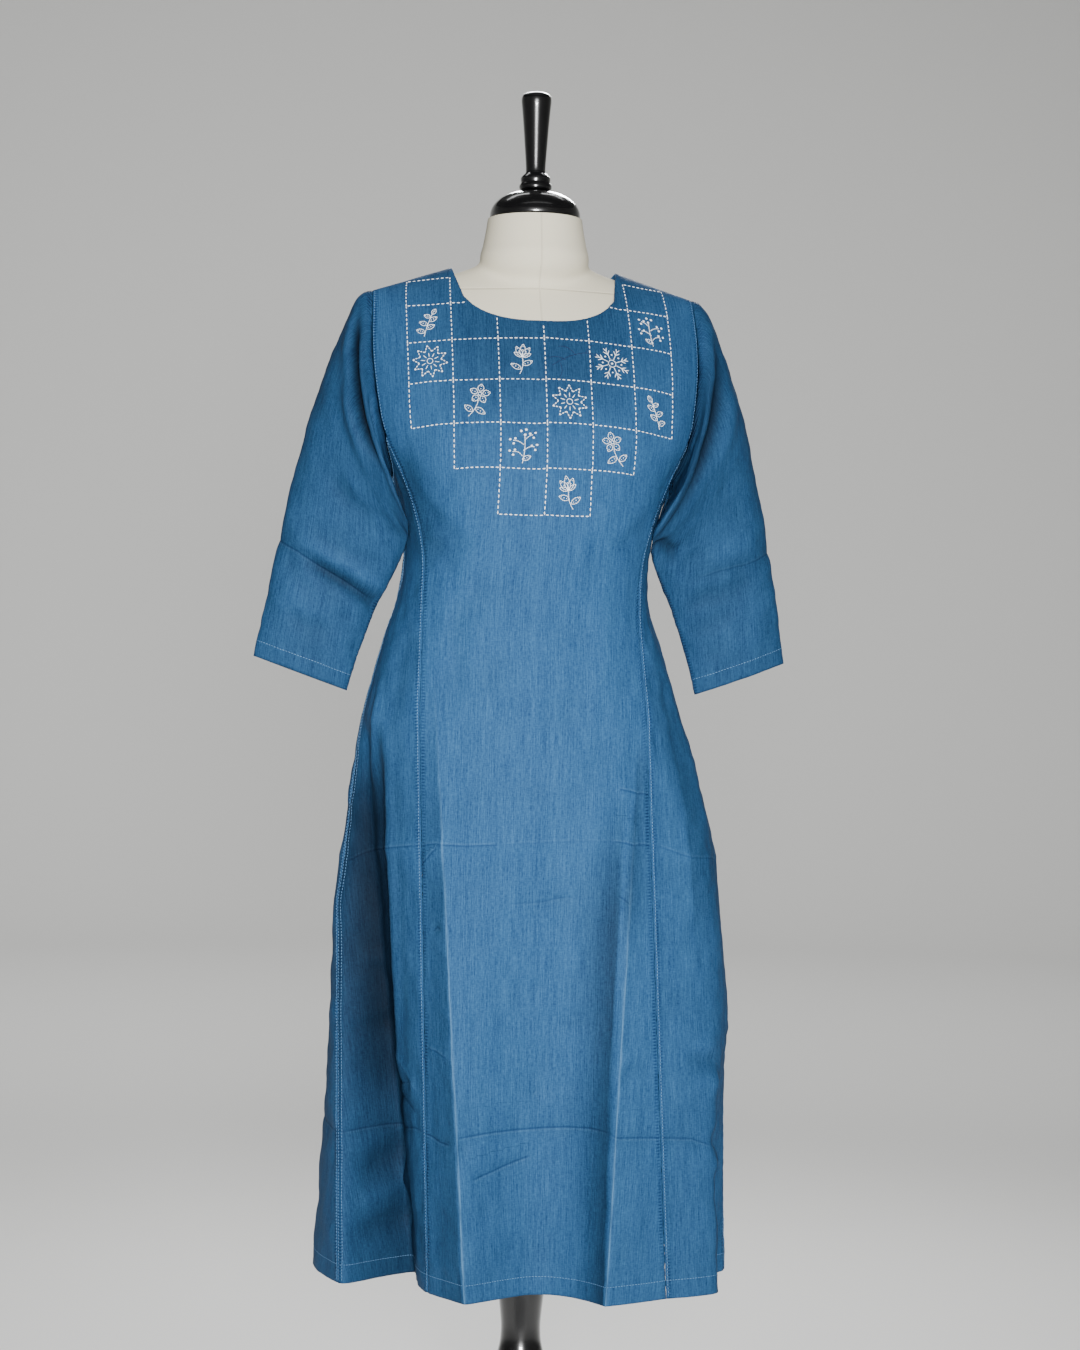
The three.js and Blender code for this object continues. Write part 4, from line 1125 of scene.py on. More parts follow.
def cloth_piece(sheet, closed=False):
    rows, columns = sheet.across.shape
    bm = bmesh.new()
    bmesh.ops.create_grid(bm, x_segments=columns - 1, y_segments=rows - 1, size=1)
    bm.verts.ensure_lookup_table()
    corner = np.array([v.co[:2] for v in bm.verts])
    column = np.rint((corner[:, 0] + 1) / 2 * (columns - 1)).astype(int)
    row = np.rint((corner[:, 1] + 1) / 2 * (rows - 1)).astype(int)
    mesh = bpy.data.meshes.new(sheet.name)
    bm.to_mesh(mesh)
    bm.free()
    mesh.vertices.foreach_set("co", (sheet.points[row, column] * MM).astype(np.float32).ravel())
    vertex = np.empty(len(mesh.loops), int)
    mesh.loops.foreach_get("vertex_index", vertex)
    flat = np.stack([sheet.across[row, column], sheet.along[row, column]], axis=-1) * MM
    layer = mesh.uv_layers.new(name="flat")
    layer.data.foreach_set("uv", flat[vertex].astype(np.float32).ravel())
    for key, grid in sheet.kept().items():
        attribute = mesh.attributes.new(key, "FLOAT", "POINT")
        attribute.data.foreach_set("value", grid[row, column].astype(np.float32))
    if closed:
        weld(mesh)
    smooth(mesh)
    piece = add_object(sheet.name, mesh)
    wall = piece.modifiers.new("cloth", "SOLIDIFY")
    wall.thickness = CLOTH * MM
    wall.offset = -1
    return piece


print("cloth wall, mm:", CLOTH)

# %% [markdown]
# ## The dress form
#
# The form is a hard shell with linen stretched over it. Its shoulders and chest follow the garment from
# inside, and its neck grows softly out of them. A level section is found by halving, in one direction after
# another, between a point that is inside and one that is not.

# %% Inside the form, or not
FORM_ROOM = 3
FORM_NECKLINE_DROP = 6.5
SEAM_GAP = 0.3
ARM_PLATE_X = 160
ARM_PLATE_SHARE = 0.98
FORM_COLUMNS = ("height", "half width", "front", "back")
FORM_SECTIONS = [
    (1165, 140, 113, 91),
    (1120, 134, 115, 92),
    (1077, 126, 104, 88),
    (1000, 113, 88, 80),
    (920, 130, 96, 92),
    (820, 158, 106, 112),
    (740, 160, 106, 112),
    (660, 150, 100, 104),
]
NECKLINE_WIDTH = 33


def form_section(key, height):
    return read_table(FORM_SECTIONS, FORM_COLUMNS, key, height)


def form_shoulder_height(x):
    near_neck = 1 - smoothstep(np.abs(x), NECK_POINT[0], NECK_POINT[0] + NECKLINE_WIDTH)
    return shoulder_height(x) - CLOTH - SEAM_GAP - FORM_NECKLINE_DROP * near_neck


def is_inside_form(x, y, height):
    front, back = form_section("front", height), form_section("back", height)
    half_width = form_section("half width", height)
    below = (np.abs(x) < half_width) & (np.abs(y) < np.where(y < 0, front, back) * fullness(x, half_width))
    width = np.minimum(ARM_PLATE_X, section("seam", height) - FORM_ROOM)
    top = form_shoulder_height(x)
    in_front = y < SHOULDER_Y
    rounding = np.where(in_front, CHEST_ROUNDING, BACK_ROUNDING)
    chest = np.where(in_front, -front, back) * fullness(x / width, 1 / ARM_PLATE_SHARE)
    rise = np.clip((height - UNDERARM_HEIGHT) / (top - UNDERARM_HEIGHT), 0, 1)
    kept = (1 - rise**rounding) ** (1 / rounding)
    above = np.abs(y - SHOULDER_Y) < np.abs(chest - SHOULDER_Y) * kept
    above &= (np.abs(x) < width) & (height < top)
    return np.where(height <= UNDERARM_HEIGHT, below, above)


print("is the middle of the chest inside the form:", bool(is_inside_form(0.0, 0.0, 1120.0)))

# %% The sheet of the form
NECK_Y = 2
NECK_BLEND = 7
NECK_COLUMNS = ("height", "radius")
NECK_SECTIONS = [(1454, 52), (1438, 54.5), (1425, 57), (1410, 60), (1395, 55), (1380, 40), (1360, 20)]
FORM_BOTTOM = 644
FORM_EDGE = 14
FORM_EDGE_STEPS = 6
FORM_TURNS = 144
FORM_ROWS = ((658, 1165, 64), (1165, 1340, 40), (1340, 1400, 44), (1400, 1454, 24))
WIDER_THAN_FORM = 300.0


def form_radius(angle, height, middle_y):
    """How far the form reaches from its middle in each direction, with the neck grown out of the torso."""
    dx, dy = np.cos(angle), np.sin(angle)

    def outside(r):
        return np.where(is_inside_form(r * dx, middle_y + r * dy, height), -1, 1)

    torso = crossing(outside, np.zeros(angle.shape), np.full(angle.shape, WIDER_THAN_FORM))
    neck = read_table(NECK_SECTIONS, NECK_COLUMNS, "radius", height) - (middle_y - NECK_Y) * dy
    grown = (torso**NECK_BLEND + neck**NECK_BLEND) ** (1 / NECK_BLEND)
    return np.where(height < NECK_SECTIONS[-1][0], torso, grown)


def form_sheet():
    turn = np.linspace(0, math.pi / 2, FORM_EDGE_STEPS + 1)
    rows = [np.linspace(low, high, count + 1)[1:] for low, high, count in FORM_ROWS]
    heights = np.concatenate([FORM_BOTTOM + FORM_EDGE * (1 - np.cos(turn)), *rows])
    insets = np.zeros(len(heights))
    insets[: len(turn)] = FORM_EDGE * (1 - np.sin(turn))
    angles = np.linspace(-math.pi / 2, 1.5 * math.pi, FORM_TURNS + 1)
    height, angle = np.meshgrid(heights, angles, indexing="ij")
    middle_y = SHOULDER_Y * smoothstep(height, 1077, UNDERARM_HEIGHT)
    radius = form_radius(angle, height, middle_y) - insets[:, None]
    points = np.stack([radius * np.cos(angle), middle_y + radius * np.sin(angle), height], axis=-1)
    across = passed(points, axis=1)
    across -= across[:, -1:] / 2
    return Sheet("form_cover", points, across, np.array(height))


form = form_sheet()
print("neck, mm round:", round(np.ptp(form.across[-1])))

# %% [markdown]
# ## The eight pieces of the kurti
#
# Six panels and two sleeves make the whole garment. Each is its own object, as each was its own piece of
# cloth on the cutting table, so a seam is a real meeting of two edges and not a drawn line. One skin with
# painted seams would be lighter, but it would show no edge where a panel turns.

# %% Make the cloth
pieces = {}
for name, sheet in sheets.items():
    pieces[name] = cloth_piece(sheet, closed=name in SLEEVES)
    print(name, len(pieces[name].data.vertices), "points")

# %% [markdown]
# ## Stitches
#
# Every stitch is one small bead of thread, lying on the cloth. A path on the flat cloth is cut into stitches
# of one length, and each is set on the bent cloth between its two ends, turned to the cloth's own direction.
# All the beads of one thread on one piece are one mesh.

# %% A bead of thread, and the places of stitches
def bead(sides):
    """The points and faces of a bead, one unit long, wide and high."""
    bm = bmesh.new()
    bmesh.ops.create_uvsphere(bm, u_segments=sides, v_segments=4, radius=0.5,
                              matrix=Matrix.Rotation(math.pi / 2, 4, "Y"))
    bm.verts.ensure_lookup_table()
    points = np.array([v.co for v in bm.verts])
    faces = [[v.index for v in face.verts] for face in bm.faces]
    bm.free()
    return points, faces


def cut_into_stitches(path, length, pitch):
    """The ends of the stitches along a path of the flat cloth."""
    path = np.array(path, float)
    reach = passed(path)
    count = max(1, round((reach[-1] + pitch - length) / pitch))
    step = reach[-1] / (count - 1 + length / pitch)
    starts = np.arange(count) * step
    ends = starts + step * length / pitch
    x, y = path.T
    at = [np.stack([np.interp(where, reach, x), np.interp(where, reach, y)], axis=-1)
          for where in (starts, ends)]
    return list(zip(*at))


print("faces of a six-sided bead:", len(bead(6)[1]))
print("stitches in 100 mm, at a pitch of 5 mm:", len(cut_into_stitches([(0, 0), (0, 100)], 3, 5)))

# %% Sew with one thread
CLEAR_OF_EDGE = 0.8
UNEVEN_HEIGHT = (0.6, 1.1)
STITCH_LIFT = 0.2
STITCH_BULGE = 1.2
STITCH_OVERLAP = 0.25


class Thread:
    """All the stitches of one thread on one piece of cloth."""

    def __init__(self, sheet, suffix, length, pitch, width, height, sides):
        self.sheet, self.name = sheet, sheet.name + "_" + suffix
        self.length, self.pitch = length, pitch
        self.width, self.height, self.sides = width, height, sides
        self.ends, self.sizes = [], []
        self.chance = np.random.default_rng(len(self.name))

    def on_cloth(self, place):
        top = self.sheet.along[-1]
        column = self.sheet.find(*place)[1]
        return place[1] < np.interp(column, np.arange(len(top)), top) - CLEAR_OF_EDGE

    def sew(self, path, width=None, height=None, length=None, pitch=None):
        """Stitches all along a path. What isn't given is as this thread has it."""
        for start, end in cut_into_stitches(path, length or self.length, pitch or self.pitch):
            self.stitch(start, end, width, height)

    def stitch(self, start, end, width=None, height=None):
        if self.on_cloth(start) and self.on_cloth(end):
            self.ends.append((start, end))
            high = (height or self.height) * self.chance.uniform(*UNEVEN_HEIGHT)
            self.sizes.append((width or self.width, high))

    def make(self):
        points, faces = bead(self.sides)
        placed = [[self.sheet.place(*self.sheet.find(*end)) for end in pair] for pair in self.ends]
        first = np.array([pair[0][0] for pair in placed])
        last = np.array([pair[1][0] for pair in placed])
        up = np.array([(pair[0][1] + pair[1][1]).normalized() for pair in placed])
        along = last - first
        reach = np.linalg.norm(along, axis=1, keepdims=True)
        along = along / np.maximum(reach, 1e-6)
        side = np.cross(up, along)
        up = np.cross(along, side)
        wide, high = np.array(self.sizes).T[:, :, None]
        middle = (first + last) / 2 + up * high * STITCH_LIFT
        size = [reach + wide * STITCH_OVERLAP, wide, high * STITCH_BULGE]
        beads = middle[:, None, :] + sum(
            (axis * scale)[:, None, :] * points[None, :, k, None]
            for k, (axis, scale) in enumerate(zip((along, side, up), size))
        )
        all_faces = [[v + n * len(points) for v in face] for n in range(len(beads)) for face in faces]
        mesh = bpy.data.meshes.new(self.name)
        mesh.from_pydata((beads.reshape(-1, 3) * MM).tolist(), [], all_faces)
        smooth(mesh)
        return add_object(self.name, mesh)


print("a thread can:", ", ".join(name for name in vars(Thread) if not name.startswith("_")))

# %% Topstitching
TOPSTITCH = {"length": 2.5, "pitch": 3.4, "width": 0.6, "height": 0.35, "sides": 5}
SEAM_LINE = 2.3
SECOND_LINE = 6.6
CUFF_FOLD = 18
# The two long edges of a side panel, and how far inwards each of its rows of stitches lies.
SEWN_BESIDE = {
    "front_side_panel_left": [("first", SEAM_LINE), ("last", SEAM_LINE)],
    "front_side_panel_right": [("first", SEAM_LINE), ("first", SECOND_LINE), ("last", SEAM_LINE)],
    "back_side_panel_left": [("first", SEAM_LINE), ("first", SECOND_LINE), ("last", SEAM_LINE)],
    "back_side_panel_right": [("first", SEAM_LINE), ("last", SEAM_LINE)],
}
stitched = {}


def edge_path(sheet, edge, inwards, rows):
    """A path up the cloth beside its first or its last column."""
    column = 0 if edge == "first" else -1
    towards = 1 if edge == "first" else -1
    return np.stack([sheet.across[rows, column] + towards * inwards, sheet.along[rows, column]], axis=-1)


def level_path(sheet, along):
    """A path round the cloth, at one distance up from its hem or cuff."""
    row = int(np.argmin(np.abs(sheet.along[:, sheet.along.shape[1] // 2] - along)))
    line = sheet.across[row]
    places = [line[0] + CLEAR_OF_EDGE, *line[2:-2:3], line[-1] - CLEAR_OF_EDGE]
    return np.array([(across, along) for across in places])


for name, sheet in sheets.items():
    thread = Thread(sheet, "topstitch", **TOPSTITCH)
    if name in SLEEVES:
        thread.sew(level_path(sheet, CUFF_FOLD))
    else:
        thread.sew(level_path(sheet, HEM_FOLD))
        seam = slice(1, None, 4)
        for edge, inwards in SEWN_BESIDE.get(name, []):
            thread.sew(edge_path(sheet, edge, inwards, seam))
        if is_side(name):
            top = sheet.along[-1] - SEAM_LINE
            thread.sew(np.stack([sheet.across[-1], top], axis=-1)[2:-2])
        else:
            above = slice(int(np.argmax(sheet.height[:, 0] > SEAM_MEETS_ARMHOLE)), -1, 3)
            for edge in ("first", "last"):
                thread.sew(edge_path(sheet, edge, SEAM_LINE, above))
    stitched[name] = [thread.make()]
    print(name, "topstitches:", len(thread.ends))

# %% [markdown]
# ## The embroidered yoke
#
# White cotton runs round a stepped check of squares, and about every other square has a motif. The motifs
# are ordinary ones, a star, a bloom, a leaf spray, berries, a tulip and a burst, each written as a small
# formula round the middle of its square.

# %% The squares
RUNNING = {"length": 3.5, "pitch": 5.6, "width": 1.35, "height": 0.8, "sides": 6}
SQUARE = 50
LOWEST_LINE = 1119.5
TOP_LINE_LOWER = 8
CORNER_GAP = 1.5
LINE_BOW = 0.5
# Line 0 is by the shoulder seams, and line 6 is the lowest. Each upright, in squares from the centre front,
# runs from its lowest line to its highest, and each level line has one or two runs between uprights.
UPRIGHTS = {-3: (4, 0), -2: (5, 0), -1: (6, 1), 0: (6, 1), 1: (6, 1), 2: (5, 0), 3: (4, 0)}
LEVELS = {
    0: ((-3, -2), (2, 3)),
    1: ((-3, 3),),
    2: ((-3, 3),),
    3: ((-3, 3),),
    4: ((-3, 3),),
    5: ((-2, 2),),
    6: ((-1, 1),),
}

yoke = sheets["front_centre_panel"]
lowest_along = yoke.flat((0.0, LOWEST_LINE))[1]
white = Thread(yoke, "embroidery", **RUNNING)


def level_at(line):
    """How far up the cloth a level line lies."""
    return lowest_along + (max(LEVELS) - line) * SQUARE - (TOP_LINE_LOWER if line == 0 else 0)


def straight(start, end, bow=0.0):
    """A line that bows up or down a little in the middle, as one sewn by hand does."""
    t = np.linspace(0, 1, 15)
    line = np.array(start)[None] * (1 - t[:, None]) + np.array(end)[None] * t[:, None]
    line[:, 1] += bow * np.sin(math.pi * t)
    return line


for upright, (low, high) in UPRIGHTS.items():
    for line in range(high, low):
        white.sew(straight((upright * SQUARE, level_at(line + 1)), (upright * SQUARE, level_at(line))))
for line, runs in LEVELS.items():
    for first, last in runs:
        for square in range(first, last):
            start = (square * SQUARE + CORNER_GAP, level_at(line))
            end = ((square + 1) * SQUARE - CORNER_GAP, level_at(line))
            white.sew(straight(start, end, bow=LINE_BOW * math.sin(5 * line + 2 * square)))
print("running stitches:", len(white.ends))

# %% [markdown]
# A motif is drawn in millimetres round the middle of its square, out of five things that a hand can sew: a
# close stem, a dashed line, a knot, a bar and an outlined leaf. Drawing each star by its points would be
# longer, and a formula keeps the rays even.

# %% What a hand can sew
MOTIF_SCALE = 1.28


def turned_by(points, angle, at=(0, 0)):
    x, y = np.atleast_2d(np.array(points, float)).T
    cos, sin = math.cos(angle), math.sin(angle)
    return np.stack([x * cos - y * sin, x * sin + y * cos], axis=-1) + at


def ring(radius, at=(0, 0), steps=25):
    t = np.linspace(0, 2 * math.pi, steps)
    return np.stack([np.cos(t), np.sin(t)], axis=-1) * radius + at


def curve(start, middle, end):
    """A smooth curve through three points."""
    start, middle, end = (np.array(point, float) for point in (start, middle, end))
    control = 2 * middle - (start + end) / 2
    t = np.linspace(0, 1, 20)[:, None]
    return start * (1 - t) ** 2 + control * 2 * t * (1 - t) + end * t**2


class Motif:
    """A drawing in thread round the middle of one square."""

    def __init__(self, thread, middle, turn, mirror):
        self.thread, self.middle, self.turn, self.mirror = thread, np.array(middle, float), turn, mirror

    def move(self, points):
        points = np.atleast_2d(np.array(points, float)) * (self.mirror * MOTIF_SCALE, MOTIF_SCALE)
        return turned_by(points, self.turn, at=self.middle)

    def stem(self, path):
        self.thread.sew(self.move(path), width=0.9, height=0.6, length=2.3, pitch=2.3)

    def dashes(self, path):
        self.thread.sew(self.move(path), width=1.25, height=0.7, length=2.3, pitch=3.3)

    def knot(self, at, size=2.0):
        x, y = at
        start, end = self.move([(x - size * 0.32, y), (x + size * 0.32, y)])
        self.thread.stitch(start, end, width=size, height=1.3)

    def bar(self, start, end, width=0.95):
        first, last = self.move([start, end])
        self.thread.stitch(first, last, width=width, height=0.75)

    def leaf(self, base, angle, length=8.5, width=5.0, dots=3):
        """A leaf or a petal: an outline round a row of small knots."""
        t = np.linspace(0, 1, 17)
        half = width / 2 * np.sin(math.pi * t) ** 0.8 * (1.15 - 0.35 * t)
        for side in (1, -1):
            self.stem(turned_by(np.stack([t * length, side * half], axis=-1), angle, at=base))
        for k in range(dots):
            self.knot(turned_by([((k + 1) / (dots + 0.8) * length, 0)], angle, at=base)[0], 1.1)


print("a ring of radius 1 measures", round(float(passed(ring(1))[-1]), 3), "round")

# %% The drawings
def star(m):
    radii = [15.5, 9.5] * 10 + [15.5]
    corners = [turned_by((r, 0), math.pi / 2 + k * math.pi / 10)[0] for k, r in enumerate(radii)]
    for start, end in zip(corners, corners[1:]):
        m.dashes(straight(start, end))
    m.stem(ring(2.6))
    for k in range(10):
        m.bar(*turned_by([(4.2, 0), (8.2, 0)], k * math.pi / 5 + math.pi / 2))


def bloom(m):
    centre = (1.5, 6.5)
    for k in range(5):
        angle = k * 2 * math.pi / 5 + 0.3
        m.leaf(turned_by([(2.2, 0)], angle, at=centre)[0], angle, 6.8, 5.4, dots=2)
    m.stem(ring(1.7, centre, 9))
    m.stem(curve((1, 1), (-0.5, -7), (-5, -15)))
    m.leaf((-0.5, -6.5), math.radians(-25), 10, 5)
    m.leaf((-2, -10), math.radians(150), 9, 4.8)


def spray(m):
    m.stem(curve((-6, -14), (-1.5, -3), (4.5, 9)))
    for base, angle in (((-4.6, -10), 150), ((-3, -6.5), 20), ((-1.3, -2.6), 148), ((0.5, 0.9), 24)):
        m.leaf(base, math.radians(angle), 8.2, 4.6)
    m.leaf((2.4, 4.8), math.radians(148), 6.6, 4)
    m.leaf((4, 7.8), math.radians(54), 6.6, 4.2)


def berries(m):
    m.stem(curve((4, -15), (0, -3), (-2, 9)))
    for start, middle, end in (((3, -9), (6, -5), (10.5, -4)), ((1.5, -4.5), (-4, -2), (-8.5, -2.5)),
                               ((0.2, 0.5), (4, 4), (8.5, 5.5)), ((-1, 4), (-5, 7), (-9, 8))):
        m.stem(curve(start, middle, end))
        for k in range(3):
            m.knot(turned_by([(2.6, 0)], k * 2 * math.pi / 3 + 0.5, at=end)[0], 2.7)
    for k in range(3):
        m.knot(turned_by([(2.6, 0)], k * 2 * math.pi / 3 + 0.4, at=(-2, 11.5))[0], 2.9)
    m.leaf((3.6, -12), math.radians(165), 8, 4)


def tulip(m):
    for angle, length in ((58, 11), (90, 12.5), (122, 11)):
        m.leaf((0, 1.5), math.radians(angle), length, 5)
    m.leaf((0, 1.5), math.radians(26), 8, 3.6, dots=1)
    m.leaf((0, 1.5), math.radians(154), 8, 3.6, dots=1)
    m.stem(curve((0, 1), (1, -7), (-1, -15)))
    m.leaf((0.6, -6), math.radians(28), 9.5, 4.6)
    m.leaf((0, -10), math.radians(158), 10, 4.6)


def burst(m):
    for k in range(8):
        angle = k * math.pi / 4 + math.pi / 8
        m.stem(turned_by(straight((4, 0), (13, 0)), angle))
        for side in (1, -1):
            m.bar(*turned_by([(9, 0), (12.6, side * 3)], angle))
            m.bar(*turned_by([(12.4, 0), (15.6, side * 1.6)], angle))
        m.knot(turned_by([(8.4, 0)], angle + math.pi / 8)[0], 1.9)
    m.stem(ring(3.4))
    m.knot((0, 0), 2.6)


print("drawings:", ", ".join(draw.__name__ for draw in (star, bloom, spray, berries, tulip, burst)))

# %% Sew the motifs
# Each motif has its row, its square, its drawing, its turn in degrees and -1 where it is mirrored.
MOTIFS = [
    (1, -3, spray, 6, 1),
    (1, 2, berries, -8, 1),
    (2, -3, star, 8, 1),
    (2, -1, tulip, -6, 1),
    (2, 1, burst, 0, 1),
    (3, -2, bloom, -10, 1),
    (3, 0, star, 0, 1),
    (3, 2, spray, -4, -1),
    (4, -1, berries, 10, -1),
    (4, 1, bloom, 12, -1),
    (5, 0, tulip, 14, -1),
]
for line, square, draw, turn, mirror in MOTIFS:
    middle = ((square + 0.5) * SQUARE, (level_at(line) + level_at(line + 1)) / 2)
    draw(Motif(white, middle, math.radians(turn), mirror))
stitched["front_centre_panel"].append(white.make())
print("white stitches in all:", len(white.ends))

# %% A twig in navy thread, nearly lost in the cloth
TWIG = {"length": 2.6, "pitch": 2.7, "width": 0.7, "height": 0.4, "sides": 5}
TWIGS = [
    ((-26, 11), (-8, 8), (12, -9)),
    ((-14, 11), (-16, 17), (-21, 21)),
    ((-6, 6), (2, 11), (10, 10)),
    ((2, -1), (9, 0), (16, -3)),
    ((-18, 10), (-22, 3), (-21, -4)),
    ((6, -5), (3, -12), (4, -18)),
]
navy = Thread(yoke, "navy_twig", **TWIG)
twig = Motif(navy, (0.5 * SQUARE, level_at(2) - SQUARE / 2), math.radians(-12), -1)
for path in TWIGS:
    navy.sew(twig.move(curve(*path)))
stitched["front_centre_panel"].append(navy.make())
print("navy stitches:", len(navy.ends))

# %% [markdown]
# ## The linen cover
#
# The shell's linen is glued down all round, so it has no wall and no fold of its own. It is the same kind of
# grid as the cloth, welded into a closed skin, with its flat top and bottom filled. A solid of revolution
# would be simpler, but shoulders are not round.

# %% Form cover
LINEN_EDGE = math.radians(50)


def form_piece(sheet):
    piece = cloth_piece(sheet, closed=True)
    piece.modifiers.clear()
    bm = bmesh.new()
    bm.from_mesh(piece.data)
    rim = [edge for edge in bm.edges if edge.is_boundary]
    bmesh.ops.holes_fill(bm, edges=rim)
    bmesh.ops.recalc_face_normals(bm, faces=bm.faces)
    bm.to_mesh(piece.data)
    bm.free()
    smooth(piece.data)
    piece.data.set_sharp_from_angle(angle=LINEN_EDGE)
    return piece


pieces["form_cover"] = form_piece(form)
print("form cover:", len(pieces["form_cover"].data.vertices), "points")

# %% [markdown]
# ## The turned wood
#
# A lathe cuts the cap, its handle, the pole and the base from solid blocks, so each is a spun outline. The
# corners of every outline are cut twice over, because sharp arrises are sanded off before the lacquer goes
# on. A bevel would round the arrises too, but cutting also smooths the long curves between them.

# %% Outlines of the turned parts
# Each outline is a list of radii and heights, from the middle of the bottom to the middle of the top.
TURNED = {
    "lacquered_neck_cap": [
        (0, 1454.3), (49, 1454.3), (50.3, 1456), (50.3, 1460), (49, 1465), (46, 1470.5), (40, 1476.5),
        (31, 1481.5), (21, 1484.5), (15, 1486), (0, 1486),
    ],
    "lacquered_handle": [
        (0, 1486.3), (16.5, 1486.3), (18.2, 1489), (18.2, 1492), (16, 1495), (16.6, 1497.5),
        (16.6, 1500.5), (14, 1503.5), (11, 1506), (10.9, 1512), (12.2, 1530), (14, 1555), (15.9, 1577),
        (17, 1587), (15.8, 1592), (11, 1595), (0, 1596),
    ],
    "lacquered_pole": [
        (0, 46.3), (44, 46.3), (44, 54), (35, 62), (27, 76), (24, 96), (27, 118), (33, 140), (36, 158),
        (33, 176), (26, 196), (22.5, 212), (21.8, 228), (23.5, 246), (25.6, 264), (28, 300), (28.6, 340),
        (26, 400), (22.5, 470), (20.5, 540), (21, 590), (26, 610), (38, 622), (42, 632), (42, 643.7),
        (0, 643.7),
    ],
    "lacquered_base": [
        (0, 0), (184, 0), (190, 5), (190, 18), (184, 24), (150, 28), (90, 34), (70, 40), (62, 46), (0, 46),
    ],
}
TURNED_Y = {"lacquered_neck_cap": NECK_Y, "lacquered_handle": NECK_Y}
TURNED_STEPS = 96
TURNED_EDGE = math.radians(60)
CORNER_CUTS = 2
CUT_AT = (0.2, 0.8)


def rounded(outline):
    """The outline with its corners cut again and again, as a lathe and lacquer leave them."""
    for _ in range(CORNER_CUTS):
        cut = [outline[0]]
        for (r0, z0), (r1, z1) in zip(outline, outline[1:]):
            cut += [(mix(r0, r1, share), mix(z0, z1, share)) for share in CUT_AT]
        outline = cut + [outline[-1]]
    return outline


def spun(name, outline, y=0, from_within=False):
    """An outline in millimetres, spun round an upright line. A room is seen from within."""
    bm = bmesh.new()
    line = [bm.verts.new((r * MM, y * MM, z * MM)) for r, z in outline]
    edges = [bm.edges.new(pair) for pair in zip(line, line[1:])]
    bmesh.ops.spin(bm, geom=line + edges, cent=(0, y * MM, 0), axis=(0, 0, 1), angle=2 * math.pi,
                   steps=TURNED_STEPS, use_merge=True)
    bmesh.ops.remove_doubles(bm, verts=bm.verts, dist=WELD * MM)
    bmesh.ops.recalc_face_normals(bm, faces=bm.faces)
    if from_within:
        bmesh.ops.reverse_faces(bm, faces=bm.faces)
    mesh = bpy.data.meshes.new(name)
    bm.to_mesh(mesh)
    bm.free()
    smooth(mesh)
    return add_object(name, mesh)


for name, outline in TURNED.items():
    pieces[name] = spun(name, rounded(outline), TURNED_Y.get(name, 0))
    pieces[name].data.set_sharp_from_angle(angle=TURNED_EDGE)
    print(name, len(pieces[name].data.vertices), "points")

# %% [markdown]
# ## Materials
#
# A shader is a sum, so it is written as one. Value wraps the output of a node and turns +, - and * into Math
# nodes, and Graph.node adds any other node with its settings and its inputs. The same could be wired by hand
# in the shader editor, but a line of code says at once which numbers matter.

# %% A small way to write shaders
class Value:
    """The output of a node, in expressions that add Math nodes as they are worked out."""

    def __init__(self, graph, socket):
        self.graph, self.socket = graph, socket

    def maths(self, operation, *others):
        return self.graph.node("Math", {"operation": operation}, dict(enumerate((self, *others))))

    def __add__(self, other):
        return self.maths("ADD", other)

    def __sub__(self, other):
        return self.maths("SUBTRACT", other)

    def __rsub__(self, other):
        return self * -1 + other

    def __mul__(self, other):
        return self.maths("MULTIPLY", other)

    __radd__, __rmul__ = __add__, __mul__


class Graph:
    """The node tree of one material."""

    def __init__(self, name):
        self.material = bpy.data.materials.new(name)
        self.material.use_nodes = True
        self.tree = self.material.node_tree
        self.shader = self.tree.nodes["Principled BSDF"]

    def put(self, socket, value):
        if isinstance(value, Value):
            self.tree.links.new(value.socket, socket)
        else:
            socket.default_value = value

    def node(self, kind, settings=None, inputs=None, output=0):
        node = self.tree.nodes.new("ShaderNode" + kind)
        for key, value in (settings or {}).items():
            setattr(node, key, value)
        for key, value in (inputs or {}).items():
            self.put(node.inputs[key], value)
        return Value(self, node.outputs[output])

    def attribute(self, name):
        return self.node("Attribute", {"attribute_name": name}, output="Fac")

    def surface(self, **values):
        for key, value in values.items():
            self.put(self.shader.inputs[key.replace("_", " ").title()], value)


def linear(red, green, blue):
    """A screen colour of 0 to 255 as the linear colour that a shader takes."""
    parts = [part / 255 for part in (red, green, blue)]
    return tuple(p / 12.92 if p <= 0.04045 else ((p + 0.055) / 1.055) ** 2.4 for p in parts) + (1,)


print("middle grey, linear:", [round(part, 3) for part in linear(128, 128, 128)])

# %% [markdown]
# ## Denim
#
# Denim is indigo warp over pale weft. Its look is the unevenness of its yarns: long dark streaks along the
# warp, short slubs, and a faint grain across. Three noises drawn out along the threads in the flat cloth give
# that at true size. Pressed lines get a painted shadow in their root and a painted highlight on their lit
# side, folded edges wear pale, and cloth beside a seam puckers at every stitch, with painted shade in each
# pucker.
# The painted shade kept on the sheet darkens it all. A scanned texture would repeat, and would stop at the
# seams.

# %% The denim
DENIM_DEEP = linear(24, 55, 92)
DENIM_PALE = linear(52, 94, 133)
# The colour of the painted shadow in the root of a pressed line and in each pucker beside a seam.
DENIM_CREASE_SHADE = linear(16, 44, 82)
# Pale wear on folded edges, and the painted highlight on the lit side of a pressed line.
DENIM_WEAR_AND_HIGHLIGHT = linear(110, 160, 200)


def bell(distance, width):
    """1 on a line and 0 far from it."""
    share = distance * (1 / width)
    return (share * share * -1).maths("EXPONENT")


